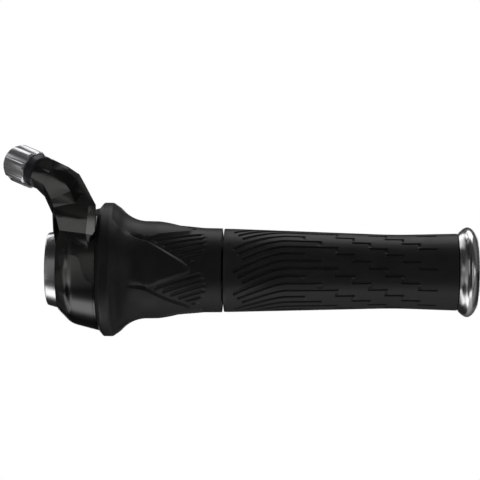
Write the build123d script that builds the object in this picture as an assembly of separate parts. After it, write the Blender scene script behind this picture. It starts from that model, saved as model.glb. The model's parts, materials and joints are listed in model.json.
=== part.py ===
"""Twist grip shifter for a bicycle handlebar, with its fixed grip.

The bar runs along X, from the clamp (X = 0) outboard. Z points the way the cable arm rises, and the
face that the rider sees looks along -Y. All sizes are in millimetres.
"""
import math
import os

from build123d import *

# Handlebar and fits
bar_diameter = 22.2
bar_clearance = 0.05  # radial room on the bar
slip_clearance = 0.05  # radial room between pieces that slide together
running_clearance = 0.3  # room between pieces that turn past each other
screw_clearance = 0.1  # radial room round a screw

# Bar clamp
clamp_wall = 3.4
clamp_taper = 1.3  # radius lost towards the inboard face
clamp_width = 8.4
clamp_shown = 4.8  # length of the clamp that the housing leaves in view
clamp_edge_radius = 0.8
clamp_slot = 1.6
clamp_ear_height = 7.0
clamp_ear_thickness = 4.4
clamp_bolt_diameter = 4.0
clamp_bolt_head_diameter = 7.0
clamp_bolt_head_height = 3.6
clamp_bolt_key = 3.0

# Mandrel
mandrel_wall = 2.0
collet_slot = 1.6
collet_slot_count = 4
mandrel_flange_thickness = 1.3
finger_count = 4
finger_length = 5.0
key_inset = 1.2  # degrees between a finger and the key beside it

# Housing
skirt_wall = 0.75
skirt_gap = 0.25  # radial room between the clamp and the housing's skirt
bulkhead_gap = 0.3
bulkhead_thickness = 2.0
housing_wall = 2.4
housing_shoulder_radius = 9.0
mouth_flare = 3.0  # growth of the cup's inside radius to its mouth
cover_thickness = 1.1
cover_gap = 0.1
cover_start_angle = -118.0  # degrees round the bar, 0 faces the rider, positive up
cover_end_angle = 50.0
cover_lead_x = 7.2  # inboard edge of the cover where it faces the rider
cover_lean = 0.215  # inboard lean of that edge for each millimetre up
cover_screw_angle = -106.0
cover_screw_diameter = 2.0
cover_screw_head_diameter = 3.6
cover_screw_head_height = 1.2
cover_screw_key = 1.5
mandrel_screw_diameter = 2.0
mandrel_screw_head_diameter = 3.2
mandrel_screw_count = 3

# Index mechanism
spool_depth = 3.8  # spool wall outside the sleeve
spool_width = 4.0
cable_diameter = 1.2
cable_groove_depth = 1.9
cable_head_diameter = 4.0
cable_head_length = 4.5
spool_gap = 0.4  # radial room between the spool and the cup
index_ring_width = 2.2
index_ring_depth = 3.0
index_positions = 11
index_pitch_angle = 10.5
notch_radius = 0.8
spring_thickness = 0.5
spring_span_angle = 64.0
spring_angle = -90.0
thrust_washer_thickness = 0.5
dust_seal_width = 2.0

# Bearings and sleeve
roller_diameter = 2.0
roller_length = 6.0
roller_count = 12
roller_clearance = 0.03
cage_wall = 1.2
cage_rim = 0.9
inboard_bearing_inset = 4.5  # from the flange's face to the first cage
outboard_bearing_inset = 1.85  # from the sleeve's shoulder to the second cage
sleeve_wall = 1.2
sleeve_shoulder_width = 1.5
retaining_ring_width = 1.0
retaining_groove_depth = 0.6
retaining_ring_gap_angle = 50.0
wiper_width = 1.8

# Twist grip
rim_gap = 0.35  # axial gap between the housing and the turning flange
cup_length = 11.4  # from the bulkhead to the mouth of the housing
flange_lip = 2.35  # flange radius beyond the housing's rim
flange_length = 5.6
flange_bevel = 2.0
flange_edge_radius = 1.6
flange_slope = 46.0  # degrees, of the flare behind the flange
flare_radius = 14.0
twist_length = 51.6  # turning rubber, flange included
neck_rubber = 3.55  # rubber on the sleeve at the neck
neck_distance = 25.0  # from the flange's face to the neck
twist_end_rubber = 1.55
sleeve_disc_lip = 2.2  # flange rubber round the sleeve's disc
sleeve_disc_width = 4.0
sector_count = 6
blade_relief = 0.6  # height of the blade panels
fin_relief = 0.8  # depth of the grooves between the fins
fin_count = 5
fin_setback = 1.6  # plain strip between a blade's edge and the fins
fin_gap_share = 0.52
fin_end_margin = 7.5  # plain band of rubber at the outboard end

# Fixed grip
seam_gap = 0.6
fixed_length = 98.2
core_wall = 2.55
fixed_start_rubber = 4.0
fixed_waist_rubber = 2.0
waist_corner_drop = 0.15  # of the profile's corner under the waist's curve
fixed_end_rubber = 2.55
waist_distance = 72.0
fixed_edge_radius = 0.7
fixed_shoulder_radius = 4.0
waist_curve_radius = 260.0
tread_rows = 33
tread_pitch = 20.6
tread_slot_length = 8.4
tread_slot_width = 0.9
tread_depth = 0.6
tread_stagger = tread_pitch / 3
feather_length = 17.0
feather_angle = 21.0
plain_band = 5.0

# Lock collar
collar_gap = 0.1
collar_length = 8.5
collar_flare_radius = 19.05
collar_flare_distance = 4.1
collar_end_radius = 16.6
collar_lip = 0.7
collar_slot = 1.6
collar_sleeve_wall = 2.15
lock_bolt_diameter = 3.0
lock_bolt_head_diameter = 5.4
lock_bolt_head_height = 3.0
lock_bolt_key = 2.5

# Cable arm and adjuster
arm_rise = 20.5  # height at which the cable leaves its straight run
arm_bend_radius = 18.0
arm_bend_angle = 73.2
arm_heading = 40.0  # degrees, turn of the bend's plane away from the rider
arm_end_run = 9.3
arm_end_radius = 6.4
# Corners of the faceted arm: along the bar, away from the rider and up from where the cable starts to bend
arm_corners = {
    "top_1": (-11.85, 7.7, 25.6),
    "top_2": (-4.85, 3.0, 22.4),
    "top_3": (0.15, 1.0, 19.2),
    "top_4": (3.65, 0.7, 12.9),
    "top_5": (7.15, 0.4, 6.5),
    "top_6": (7.15, -3.4, 1.6),
    "top_7": (7.15, -3.6, -6.2),
    "ridge_1": (-11.85, 3.85, 21.5),
    "ridge_2": (-4.85, 1.0, 20.3),
    "ridge_3": (-0.55, -1.4, 16.9),
    "ridge_4": (1.85, -1.9, 11.4),
    "ridge_5": (4.35, -2.3, 5.8),
    "brow_3": (-3.05, -3.9, 12.1),
    "neck_3": (4.35, -5.6, 2.4),
    "heel_1": (-8.0, 0.3, -4.1),
    "heel_2": (3.75, -6.4, -5.5),
    "tuck_1": (-5.85, 1.4, -8.5),
    "tuck_2": (4.45, -4.1, -11.0),
    "left_1": (-15.4, 8.9, 10.0),
    "left_2": (-11.85, 6.9, 2.9),
    "left_3": (-11.55, 7.4, -4.1),
    "left_4": (-10.05, 4.4, -10.0),
    "back_right_1": (1.65, 9.4, 15.5),
    "back_right_2": (5.65, 8.4, 7.5),
    "back_right_3": (6.75, 7.9, -6.5),
    "back_left_1": (-12.35, 13.4, 7.0),
    "back_left_2": (-10.65, 11.9, 1.5),
    "back_left_3": (-10.65, 11.9, -8.5),
}
# Corners that lie in the two flat front panels: along the bar and up from the same point
brow_panel = {
    "brow_1": (-12.95, 19.8),
    "brow_2": (-5.85, 16.0),
    "jaw_1": (-15.4, 15.0),
    "jaw_2": (-11.55, 8.7),
}
neck_panel = {"fold_1": (-10.85, 5.4), "fold_2": (-4.15, 6.8), "fold_3": (-1.25, 7.2)}
# Corners of the arm's end face: across and behind the adjuster's axis, as shares of arm_end_radius
arm_end_corners = {
    "top_0": (1.0, -0.56),
    "ridge_0": (0.34, -0.97),
    "brow_0": (-0.1, -1.0),
    "jaw_0": (-0.53, -0.94),
    "left_0": (-1.0, -0.38),
    "end_4": (-1.0, 0.41),
    "end_3": (-0.41, 1.0),
    "end_2": (0.41, 1.0),
    "end_1": (1.0, 0.41),
}
guide_diameter = 3.2
guide_bore = 1.8
stem_diameter = 6.0
stem_travel = 4.0  # way that the adjuster winds out
stem_engagement = 3.25  # thread still held when it is wound right out
insert_diameter = 8.8
insert_length = 9.0
collar_ring_diameter = 14.2
collar_ring_length = 4.6
knob_diameter = 16.2
knob_length = 13.8
knob_end_diameter = 13.4
knob_end_taper = 2.2
knob_gap = 0.15
flute_count = 8
flute_depth = 0.85
flute_radius = 4.2  # hollow lands between narrow ribs
flute_phase = 17.5
ferrule_diameter = 5.2  # bore for the cable housing's ferrule
ferrule_depth = 8.0
ferrule_wall = 0.9
ferrule_floor = 1.0

# Radii worked outwards from the bar
bore_radius = bar_diameter / 2 + bar_clearance
mandrel_radius = bore_radius + mandrel_wall
race_radius = mandrel_radius + roller_diameter + 2 * roller_clearance
sleeve_radius = race_radius + sleeve_wall
clamp_bore = mandrel_radius + slip_clearance
clamp_radius = clamp_bore + clamp_wall
skirt_bore = clamp_radius + skirt_gap
skirt_radius = skirt_bore + skirt_wall
spool_radius = sleeve_radius + spool_depth
cable_radius = spool_radius - cable_groove_depth + cable_diameter / 2
cup_radius = spool_radius + spool_gap
mouth_radius = cup_radius + mouth_flare
rim_radius = mouth_radius + housing_wall
flange_radius = rim_radius + flange_lip
disc_radius = flange_radius - sleeve_disc_lip - flange_bevel
core_radius = bore_radius + core_wall
collar_sleeve_radius = bore_radius + collar_sleeve_wall

# Stations along the bar
bulkhead_start = clamp_width + bulkhead_gap
bulkhead_end = bulkhead_start + bulkhead_thickness
mouth_x = bulkhead_end + cup_length
mandrel_flange_end = bulkhead_end + mandrel_flange_thickness
washer_end = mandrel_flange_end + thrust_washer_thickness
sleeve_start = washer_end + slip_clearance
spool_start = sleeve_start + running_clearance
cable_x = spool_start + spool_width / 2
index_start = spool_start + spool_width
seal_end = mouth_x + rim_gap
seal_start = seal_end - dust_seal_width
twist_start = mouth_x + rim_gap
twist_end = twist_start + twist_length
sleeve_end = twist_end - 0.4
wiper_end = sleeve_end - slip_clearance
wiper_start = wiper_end - wiper_width
ring_end = wiper_start - slip_clearance
ring_start = ring_end - retaining_ring_width
shoulder_end = ring_start - slip_clearance
shoulder_start = shoulder_end - sleeve_shoulder_width
fixed_start = twist_end + seam_gap
fixed_end = fixed_start + fixed_length
core_start = fixed_start + slip_clearance
finger_start = core_start + running_clearance
mandrel_end = finger_start + finger_length
collar_start = fixed_end + collar_gap
collar_end = collar_start + collar_length
core_end = collar_end - collar_lip - slip_clearance


def around(angle, shape):
    """Turn a shape about the bar: 0 leaves it facing the rider, positive goes up."""
    return Rot(-angle, 0, 0) * shape


def turned(points):
    """Solid of revolution about the bar from (x, radius) corners."""
    corners = [(x, radius, 0) for x, radius in points]
    return revolve(make_face(Polyline(*corners, close=True)), Axis.X)


def tube(start, end, inner, outer):
    return turned([(start, inner), (end, inner), (end, outer), (start, outer)])


def along_bar(start, end, radius, y=0.0, z=0.0):
    """Cylinder parallel to the bar."""
    return Pos(start, y, z) * Rot(0, 90, 0) * Cylinder(radius, end - start, align=BASE)


def outward(radius, depth, x, base):
    """Cylinder that points at the rider, from the given distance off the bar's axis."""
    return Pos(x, -base, 0) * Rot(90, 0, 0) * Cylinder(radius, depth, align=BASE)


def filled_under(curve):
    """Solid of revolution under a profile curve that runs along the bar."""
    first, last = curve @ 0, curve @ 1
    outline = Polyline(last, (last.X, 0), (first.X, 0), first)
    return revolve(make_face(curve + outline), Axis.X)


BASE = (Align.CENTER, Align.CENTER, Align.MIN)
FRONT = (Align.CENTER, Align.MAX, Align.CENTER)
BACK = (Align.CENTER, Align.MIN, Align.CENTER)


def hexagon_socket(key, depth):
    return extrude(RegularPolygon(key / math.sqrt(3), 6), depth)


def cap_screw(diameter, length, head_diameter, head_height, key):
    """Cap screw along +Z with its head's seat at Z = 0."""
    head = Cylinder(head_diameter / 2, head_height, align=BASE)
    head = chamfer(head.edges().group_by(Axis.Z)[-1], 0.3)
    shank = Pos(0, 0, -length) * Cylinder(diameter / 2, length, align=BASE)
    socket = Pos(0, 0, head_height * 0.4) * hexagon_socket(key, head_height)
    return head + shank - socket


# Bar clamp
ear_y = clamp_radius + clamp_ear_height
bolt_y = clamp_radius + clamp_ear_height / 2
ear_reach = clamp_slot / 2 + clamp_ear_thickness


def make_bar_clamp():
    ring = filled_under(
        FilletPolyline(
            (0, clamp_bore),
            (0, clamp_radius - clamp_taper),
            (clamp_shown, clamp_radius),
            (clamp_width, clamp_radius),
            (clamp_width, clamp_bore),
            radius=[clamp_edge_radius, clamp_edge_radius, 0.2],
        )
    )
    ears = Box(clamp_width, ear_y, 2 * ear_reach, align=BACK)
    ears = fillet(ears.edges().filter_by(Axis.X).group_by(Axis.Y)[-1], clamp_ear_thickness / 2)
    clamp = ring + Pos(clamp_width / 2, 0, 0) * ears
    clamp -= along_bar(-1, clamp_width + 1, clamp_bore)
    clamp -= Pos(clamp_width / 2, 0, 0) * Box(2 * clamp_width, 2 * ear_y, clamp_slot, align=BACK)
    hole = Cylinder(clamp_bolt_diameter / 2 + screw_clearance, 4 * ear_reach)
    return clamp - Pos(clamp_width / 2, bolt_y, 0) * hole


def make_clamp_bolt():
    bolt = cap_screw(
        clamp_bolt_diameter, 2 * ear_reach, clamp_bolt_head_diameter, clamp_bolt_head_height, clamp_bolt_key
    )
    return Pos(clamp_width / 2, bolt_y, ear_reach) * bolt


# Mandrel
mandrel_flange_radius = cup_radius - slip_clearance
mandrel_screw_circle = spool_radius - mandrel_screw_head_diameter / 2


def make_mandrel():
    body = turned(
        [
            (0, bore_radius),
            (mandrel_end, bore_radius),
            (mandrel_end, mandrel_radius),
            (mandrel_flange_end, mandrel_radius),
            (mandrel_flange_end, mandrel_flange_radius),
            (bulkhead_end, mandrel_flange_radius),
            (bulkhead_end, mandrel_radius),
            (0, mandrel_radius),
        ]
    )
    body -= tube(ring_start, ring_end, mandrel_radius - retaining_groove_depth, mandrel_radius + 1)
    slot = Box(2 * clamp_width, 2 * mandrel_radius, collet_slot, align=BACK)
    for index in range(collet_slot_count):
        body -= around(360 / collet_slot_count * (index + 0.5), slot)
    body -= finger_gaps(0)
    screw = mandrel_screw(screw_clearance)
    for index in range(mandrel_screw_count):
        body -= around(360 / mandrel_screw_count * index, screw)
    return body


def finger_gaps(inset):
    """Sectors between the castellated fingers; inset narrows them for the piece that fills them."""
    half = 180 / finger_count / 2 - inset
    reach = 2 * mandrel_radius
    wedge = make_face(
        Polyline(
            (0, 0),
            (-reach * math.cos(math.radians(half)), -reach * math.sin(math.radians(half))),
            (-reach * math.cos(math.radians(half)), reach * math.sin(math.radians(half))),
            close=True,
        )
    )
    wedge = Pos(finger_start, 0, 0) * extrude(Plane.YZ * wedge, 2 * finger_length)
    gaps = [around(360 / finger_count * index, wedge) for index in range(finger_count)]
    return Part() + gaps


def mandrel_screw(grow=0.0):
    """Countersunk screw at the top of the circle, flush with the mandrel's flange."""
    radius = mandrel_screw_diameter / 2 + grow
    head = mandrel_screw_head_diameter / 2 + grow
    cone = head - radius
    tip = bulkhead_start + mandrel_screw_diameter / 4 - grow
    corners = [
        (tip, 0),
        (mandrel_flange_end, 0),
        (mandrel_flange_end, head),
        (mandrel_flange_end - cone, radius),
        (tip, radius),
    ]
    return Pos(0, 0, mandrel_screw_circle) * turned(corners)


def make_mandrel_screws():
    step = 360 / mandrel_screw_count
    recess = Pos(mandrel_flange_end, 0, mandrel_screw_circle) * Rot(0, 90, 0)
    recess *= hexagon_socket(mandrel_screw_diameter * 0.7, mandrel_flange_thickness)
    screw = mandrel_screw() - Pos(-mandrel_flange_thickness / 2, 0, 0) * recess
    return [around(step * index, screw) for index in range(mandrel_screw_count)]


# Cable route: straight up off the spool, one bend, straight out through the adjuster
heading = Vector(-math.cos(math.radians(arm_heading)), math.sin(math.radians(arm_heading)), 0)
upward = Vector(0, 0, 1)


def route_direction(turn):
    bend = math.radians(turn)
    return upward * math.cos(bend) + heading * math.sin(bend)


def route_point(turn):
    """Point on the bend of the cable's route, by the angle turned so far."""
    bend = math.radians(turn)
    start = Vector(cable_x, -cable_radius, arm_rise)
    return start + (heading * (1 - math.cos(bend)) + upward * math.sin(bend)) * arm_bend_radius


adjuster_axis = route_direction(arm_bend_angle)
arm_end = route_point(arm_bend_angle) + adjuster_axis * arm_end_run


def route_width(turn):
    """Direction across the arm, square to the route and level with the rider's view."""
    bend = math.radians(turn)
    return Vector(math.cos(bend), 0, -heading.X * math.sin(bend)).normalized()


adjuster_plane = Plane(origin=arm_end, x_dir=route_width(arm_bend_angle), z_dir=adjuster_axis)


def on_adjuster(shape):
    """Place a shape drawn about Z, with Z = 0 at the arm's end face, on the adjuster's axis."""
    return adjuster_plane.location * shape


def cable_route(start_z, end_trim):
    """Wire of the route from a height on the straight run to a distance short of the arm's end."""
    foot = (cable_x, -cable_radius, start_z)
    bend_start, bend_end = route_point(0), route_point(arm_bend_angle)
    run = Line(foot, bend_start)
    bend = ThreePointArc(bend_start, route_point(arm_bend_angle / 2), bend_end)
    out = Line(bend_end, arm_end - adjuster_axis * end_trim)
    return Wire([run.edge(), bend.edge(), out.edge()])


def round_along(path, diameter):
    section = Plane(origin=path @ 0, z_dir=path % 0) * Circle(diameter / 2)
    return sweep(section, path=path)


guide_start = math.sqrt(max(mouth_radius**2 - (cable_radius - guide_diameter / 2) ** 2, 1.0))


def make_cable_guide():
    path = cable_route(guide_start, insert_length + slip_clearance)
    return round_along(path, guide_diameter) - round_along(path, guide_bore)


# Housing
arm_strips = [
    ("top_0", "top_1", "top_2", "top_3", "top_4", "top_5"),
    ("ridge_0", "ridge_1", "ridge_2", "ridge_3", "ridge_4", "ridge_5"),
]
arm_panels = [
    ("brow_0", "brow_1", "brow_2", "brow_3", "jaw_2", "jaw_1", "jaw_0"),
    ("fold_1", "fold_2", "fold_3", "neck_3", "heel_2", "heel_1"),
]
arm_triangles = """
    ridge_0 ridge_1 brow_1, ridge_0 brow_1 brow_0, ridge_1 ridge_2 brow_2, ridge_1 brow_2 brow_1,
    ridge_2 ridge_3 brow_2, ridge_3 brow_3 brow_2, ridge_3 ridge_4 brow_3, ridge_4 fold_3 brow_3,
    ridge_4 ridge_5 fold_3, ridge_5 neck_3 fold_3, brow_3 fold_3 fold_2, brow_3 fold_2 jaw_2,
    jaw_2 fold_2 fold_1, ridge_5 top_5 top_6, ridge_5 top_6 neck_3, neck_3 top_6 top_7, neck_3 top_7 heel_2,
    heel_1 heel_2 tuck_2, heel_1 tuck_2 tuck_1, heel_2 top_7 tuck_2, jaw_0 jaw_1 left_1, jaw_0 left_1 left_0,
    jaw_1 jaw_2 left_1, jaw_2 left_2 left_1, jaw_2 fold_1 left_2, fold_1 heel_1 left_3, fold_1 left_3 left_2,
    heel_1 tuck_1 left_4, heel_1 left_4 left_3, top_0 end_1 top_1, top_1 end_1 back_right_1,
    top_1 back_right_1 top_2, top_2 back_right_1 top_3, top_3 back_right_1 back_right_2,
    top_3 back_right_2 top_4, top_4 back_right_2 top_5, top_5 back_right_2 back_right_3,
    top_5 back_right_3 top_6, top_6 back_right_3 top_7, end_1 end_2 back_right_1,
    end_2 back_left_1 back_right_1, end_2 end_3 back_left_1, end_3 end_4 back_left_1,
    back_right_1 back_left_1 back_left_2, back_right_1 back_left_2 back_right_2,
    back_right_2 back_left_2 back_left_3, back_right_2 back_left_3 back_right_3, left_0 left_1 end_4,
    left_1 back_left_1 end_4, left_1 left_2 back_left_1, left_2 back_left_2 back_left_1,
    left_2 left_3 back_left_2, left_3 back_left_3 back_left_2, left_3 left_4 back_left_3,
    left_4 tuck_1 back_left_3, tuck_1 tuck_2 back_left_3, tuck_2 back_right_3 back_left_3,
    tuck_2 top_7 back_right_3
"""


def level_with(corners, across_by, rise):
    """Corner that lies in the plane of three others, by its place along the bar and its height."""
    panel = Plane(origin=corners[0], z_dir=(corners[1] - corners[0]).cross(corners[2] - corners[0]))
    sight = Axis((cable_x + across_by, 0, arm_rise + rise), (0, 1, 0))
    return panel.intersect(sight)


def arm_points():
    """Every corner of the arm by name."""
    start = Vector(cable_x, -cable_radius, arm_rise)
    points = {name: start + Vector(*place) for name, place in arm_corners.items()}
    for name, (across_by, behind) in arm_end_corners.items():
        place = adjuster_plane.x_dir * across_by + adjuster_plane.y_dir * behind
        points[name] = arm_end + place * arm_end_radius
    brow = [points[name] for name in ("brow_0", "jaw_0", "brow_3")]
    for name, place in brow_panel.items():
        points[name] = level_with(brow, *place)
    neck = [points[name] for name in ("heel_1", "heel_2", "neck_3")]
    for name, place in neck_panel.items():
        points[name] = level_with(neck, *place)
    return points


def make_arm():
    """Arm of flat facets between named corners."""
    points = arm_points()
    outlines = [*arm_panels, tuple(arm_end_corners)]
    outlines += [names.split() for names in arm_triangles.split(",")]
    upper, lower = arm_strips
    for index in range(len(upper) - 1):
        outlines.append((upper[index], upper[index + 1], lower[index + 1]))
        outlines.append((upper[index], lower[index + 1], lower[index]))
    facets = [make_face(Polyline(*[points[name] for name in names], close=True)) for names in outlines]
    return Solid(Shell(facets))


shoulder_x = bulkhead_end - 0.4
shoulder_radius = cup_radius + housing_wall


def housing_profile(inset=0.0):
    """Outer profile of the cup, or one let in by the given depth."""
    points = [
        (clamp_shown, skirt_radius - inset),
        (shoulder_x, shoulder_radius - inset),
        (mouth_x, rim_radius - inset),
    ]
    return FilletPolyline(*points, radius=[housing_shoulder_radius])


def cup_wall_at(x):
    """Outer radius of the cup between its shoulder and its mouth."""
    share = (x - shoulder_x) / (mouth_x - shoulder_x)
    return shoulder_radius + (rim_radius - shoulder_radius) * share


def cover_edge(grow):
    """Area above the cover's curved upper edge, seen by the rider."""
    left, right = clamp_shown - 4, mouth_x + 2
    swoop = Spline(
        (left, 3.4 + grow),
        (cable_x - 4.0, 6.4 + grow),
        (cable_x + grow, 5.2 + grow),
        (cable_x + 2.0 + grow, 0.6 + grow),
        (right, -5.4 + grow),
    )
    reach = 2 * rim_radius
    top = Polyline(swoop @ 1, (right, reach), (left, reach), swoop @ 0)
    return extrude(Plane.XZ * make_face(swoop + top), reach)


def cover_lead(grow):
    """Area inboard of the cover's leaning edge, seen by the rider."""
    reach = 2 * rim_radius
    middle = cover_lead_x - grow
    lean = cover_lean * reach
    corners = [(middle + lean, -reach), (middle - lean, reach), (-reach, reach), (-reach, -reach)]
    return extrude(Plane.XZ * make_face(Polyline(*corners, close=True)), reach, both=True)


def cover_sector(grow=0.0):
    """Part of the cup's outer skin that the cover takes up."""
    start, end = cover_start_angle - grow, cover_end_angle
    skin = filled_under(housing_profile(0)) - filled_under(housing_profile(cover_thickness))
    inboard = clamp_shown + 1.4 - grow
    outboard = mouth_x - 1.0 + grow
    skin &= along_bar(inboard, outboard, 2 * rim_radius)
    keep = sector_prism(start, end, inboard - 1, outboard + 1)
    return skin & keep - cover_edge(grow) - cover_lead(grow)


def sector_prism(start, end, x_from, x_to):
    """Wedge about the bar between two angles, wide enough for the whole housing."""
    reach = 3 * rim_radius
    steps = [start + (end - start) * share / 4 for share in range(5)]
    rays = [(-reach * math.cos(math.radians(a)), reach * math.sin(math.radians(a))) for a in steps]
    face = make_face(Polyline((0, 0), *rays, close=True))
    return Pos(x_from, 0, 0) * extrude(Plane.YZ * face, x_to - x_from)


def make_housing():
    body = filled_under(housing_profile()) + make_arm()
    body -= cup_hollow()
    body -= along_bar(-1, bulkhead_start, skirt_bore)
    body -= along_bar(bulkhead_start - 1, bulkhead_end + 1, mandrel_radius + slip_clearance)
    ear_room = clamp_bolt_head_height + ear_reach + 1.2
    window = Box(4 * clamp_width, 3 * rim_radius, 2 * ear_room, align=BACK)
    body -= Pos(bulkhead_start - 2 * clamp_width, bore_radius, 0) * window
    step = 360 / mandrel_screw_count
    for index in range(mandrel_screw_count):
        body -= around(step * index, mandrel_screw(screw_clearance))
    insert_seat = Cylinder(insert_diameter / 2, insert_length + 1, align=BASE)
    body -= on_adjuster(Pos(0, 0, -insert_length) * insert_seat)
    body -= round_along(cable_route(0, 0), guide_diameter + 2 * slip_clearance)
    body -= cover_sector(cover_gap)
    return body - cover_screw_hole()


def cup_bore_at(x):
    """Inside radius of the flared cup."""
    return cup_radius + mouth_flare * (x - bulkhead_end) / cup_length


def cup_hollow():
    past = mouth_x + 1
    return turned([(bulkhead_end, 0), (past, 0), (past, cup_bore_at(past)), (bulkhead_end, cup_radius)])


cover_screw_x = (bulkhead_end + mouth_x) / 2
cover_screw_seat = cup_wall_at(cover_screw_x) - 0.4 * cover_thickness


def cover_screw_hole():
    hole = outward(cover_screw_diameter / 2 + screw_clearance, 3 * housing_wall, cover_screw_x, cup_radius)
    seat_radius = cover_screw_head_diameter / 2 + screw_clearance
    spot = outward(seat_radius, housing_wall, cover_screw_x, cover_screw_seat)
    return around(cover_screw_angle, hole + spot)


def make_cover_screw():
    length = 0.8 * housing_wall
    screw = cap_screw(
        cover_screw_diameter, length, cover_screw_head_diameter, cover_screw_head_height, cover_screw_key
    )
    return around(cover_screw_angle, Pos(cover_screw_x, -cover_screw_seat, 0) * Rot(90, 0, 0) * screw)


def make_front_cover():
    return cover_sector() - cover_screw_hole()


# Twist grip and index parts
def make_spool():
    half_groove = cable_diameter / 2 + slip_clearance
    floor = spool_radius - cable_groove_depth
    body = turned(
        [
            (spool_start, sleeve_radius),
            (index_start, sleeve_radius),
            (index_start, spool_radius),
            (cable_x + 2 * half_groove, spool_radius),
            (cable_x + half_groove, floor),
            (cable_x - half_groove, floor),
            (cable_x - 2 * half_groove, spool_radius),
            (spool_start, spool_radius),
        ]
    )
    pocket = Rot(90, 0, 0) * Cylinder(cable_head_diameter / 2, cable_head_length)
    return body - Pos(cable_x, 0, -spool_radius) * pocket


index_radius = sleeve_radius + index_ring_depth


def make_index_ring():
    body = tube(index_start, index_start + index_ring_width, sleeve_radius, index_radius)
    notch = along_bar(index_start - 1, index_start + index_ring_width + 1, notch_radius, y=-index_radius)
    for index in range(index_positions):
        body -= around(spring_angle + index_pitch_angle * index, notch)
    return body


def make_detent_spring():
    start = index_start + slip_clearance
    end = index_start + index_ring_width - slip_clearance
    outer = cup_bore_at(start) - slip_clearance
    inner = outer - spring_thickness
    half = spring_span_angle / 2
    strip = tube(start, end, inner, outer)
    strip &= sector_prism(spring_angle - half, spring_angle + half, start - 1, end + 1)
    nose_radius = notch_radius - slip_clearance
    nose_foot = index_radius + nose_radius + slip_clearance
    nose = along_bar(start, end, nose_radius, y=-nose_foot)
    neck = Pos((start + end) / 2, -nose_foot, 0)
    neck *= Box(end - start, inner - nose_foot + spring_thickness / 2, 2 * nose_radius, align=FRONT)
    return strip + around(spring_angle, nose + neck)


def sleeve_profile(overrun=0.0):
    """Outside of the sleeve from its disc outboard, or one drawn past both ends to cut with."""
    disc_end = twist_start + sleeve_disc_width
    return Polyline(
        (twist_start - overrun, disc_radius),
        (disc_end, disc_radius),
        (disc_end + (disc_radius - sleeve_radius) * 0.8, sleeve_radius),
        (sleeve_end + overrun, sleeve_radius),
    )


def make_grip_sleeve():
    body = filled_under(sleeve_profile()) + along_bar(sleeve_start, twist_start + 1, sleeve_radius)
    body -= along_bar(sleeve_start - 1, shoulder_start, race_radius)
    body -= along_bar(shoulder_end, sleeve_end + 1, race_radius)
    return body - along_bar(sleeve_start - 1, sleeve_end + 1, mandrel_radius + running_clearance)


neck_radius = sleeve_radius + neck_rubber
twist_end_radius = sleeve_radius + twist_end_rubber


def twist_profile(lift=0.0):
    """Outer profile of the turning rubber; lift raises the flare and neck to run out in the flange."""
    neck = neck_radius + lift
    end = twist_end_radius + lift
    rim = flange_radius - max(0.4 * lift, 0)
    flare = (rim - neck) / math.tan(math.radians(flange_slope))
    edge_x = twist_start + flange_length + max(1.4 * lift, 0)
    points = [
        (twist_start, rim - flange_bevel),
        (twist_start + flange_bevel * 0.8, rim),
        (edge_x, rim),
        (edge_x + flare, neck),
        (twist_start + neck_distance, neck - 0.2),
        (twist_end - fin_end_margin, end),
        (twist_end, end - 0.1),
    ]
    return FilletPolyline(*points, radius=[1.0, flange_edge_radius, flare_radius, 20.0, 20.0])


sector_angle = 360 / sector_count

# Corners of one blade panel seen by the rider, as distance from the flange's face and height
blade_heel = (4.4, 22.6)
blade_back = (17.4, 12.4)
blade_edge = (35.6, 3.3)
blade_tip = (39.4, 0.3)
blade_belly = (20.0, -6.7)
blade_foot = (4.4, -3.6)


def blade_prism():
    """Outline of one blade drawn out towards the rider."""
    corners = [blade_heel, blade_back, blade_edge, blade_tip, blade_belly, blade_foot]
    outline = Polyline(*[(twist_start + x, z) for x, z in corners], close=True)
    return extrude(Plane.XZ * make_face(outline), 2 * flange_radius)


def blade_panels():
    """Raised blades round the neck, their tips pointing outboard."""
    blade = blade_prism() & filled_under(twist_profile(blade_relief))
    return [around(sector_angle * index, blade) for index in range(sector_count)]


def fin_grooves():
    """Grooves between the fins, drawn flat beside one blade and pressed into the rubber off the blades."""
    slots = []
    for index in range(fin_count):
        low = index / fin_count
        high = low + fin_gap_share / fin_count
        slots.append(fin_slot(low, high))
    floor = filled_under(twist_profile(-fin_relief))
    tip_angle = math.degrees(math.asin(blade_tip[1] / twist_end_radius))
    cut = Part() + slots - floor
    cut &= sector_prism(tip_angle, tip_angle + sector_angle, twist_start, twist_end)
    for neighbour in (0, 1):
        cut -= around(sector_angle * neighbour, blade_prism())
    return [around(sector_angle * index, cut) for index in range(sector_count)]


def fin_slot(low, high):
    """One groove, between two shares of the way along the blade's falling edge."""
    slope = (blade_tip[1] - blade_belly[1]) / (blade_tip[0] - blade_belly[0])
    end_x = twist_end - fin_end_margin

    def on_edge(share):
        x = blade_back[0] + (blade_tip[0] - blade_back[0]) * share
        z = blade_back[1] + (blade_tip[1] - blade_back[1]) * share
        return twist_start + x + fin_setback, z

    def at_end(share):
        x, z = on_edge(share)
        return end_x, z + (end_x - x) * slope

    outline = Polyline(on_edge(low), at_end(low), at_end(high), on_edge(high), close=True)
    return extrude(Plane.XZ * make_face(outline), 2 * flange_radius)


def make_twist_rubber():
    body = filled_under(twist_profile()) - fin_grooves()
    body += blade_panels()
    return body - filled_under(sleeve_profile(overrun=1.0))


def make_dust_seal():
    lip = cup_bore_at(seal_start) - running_clearance
    return tube(seal_start, seal_end, sleeve_radius, lip)


# Bearings
pitch_radius = mandrel_radius + roller_clearance + roller_diameter / 2


cage_length = roller_length + 2 * (cage_rim + slip_clearance)
inboard_cage_start = twist_start + inboard_bearing_inset
outboard_cage_start = shoulder_start - outboard_bearing_inset - cage_length


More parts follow.
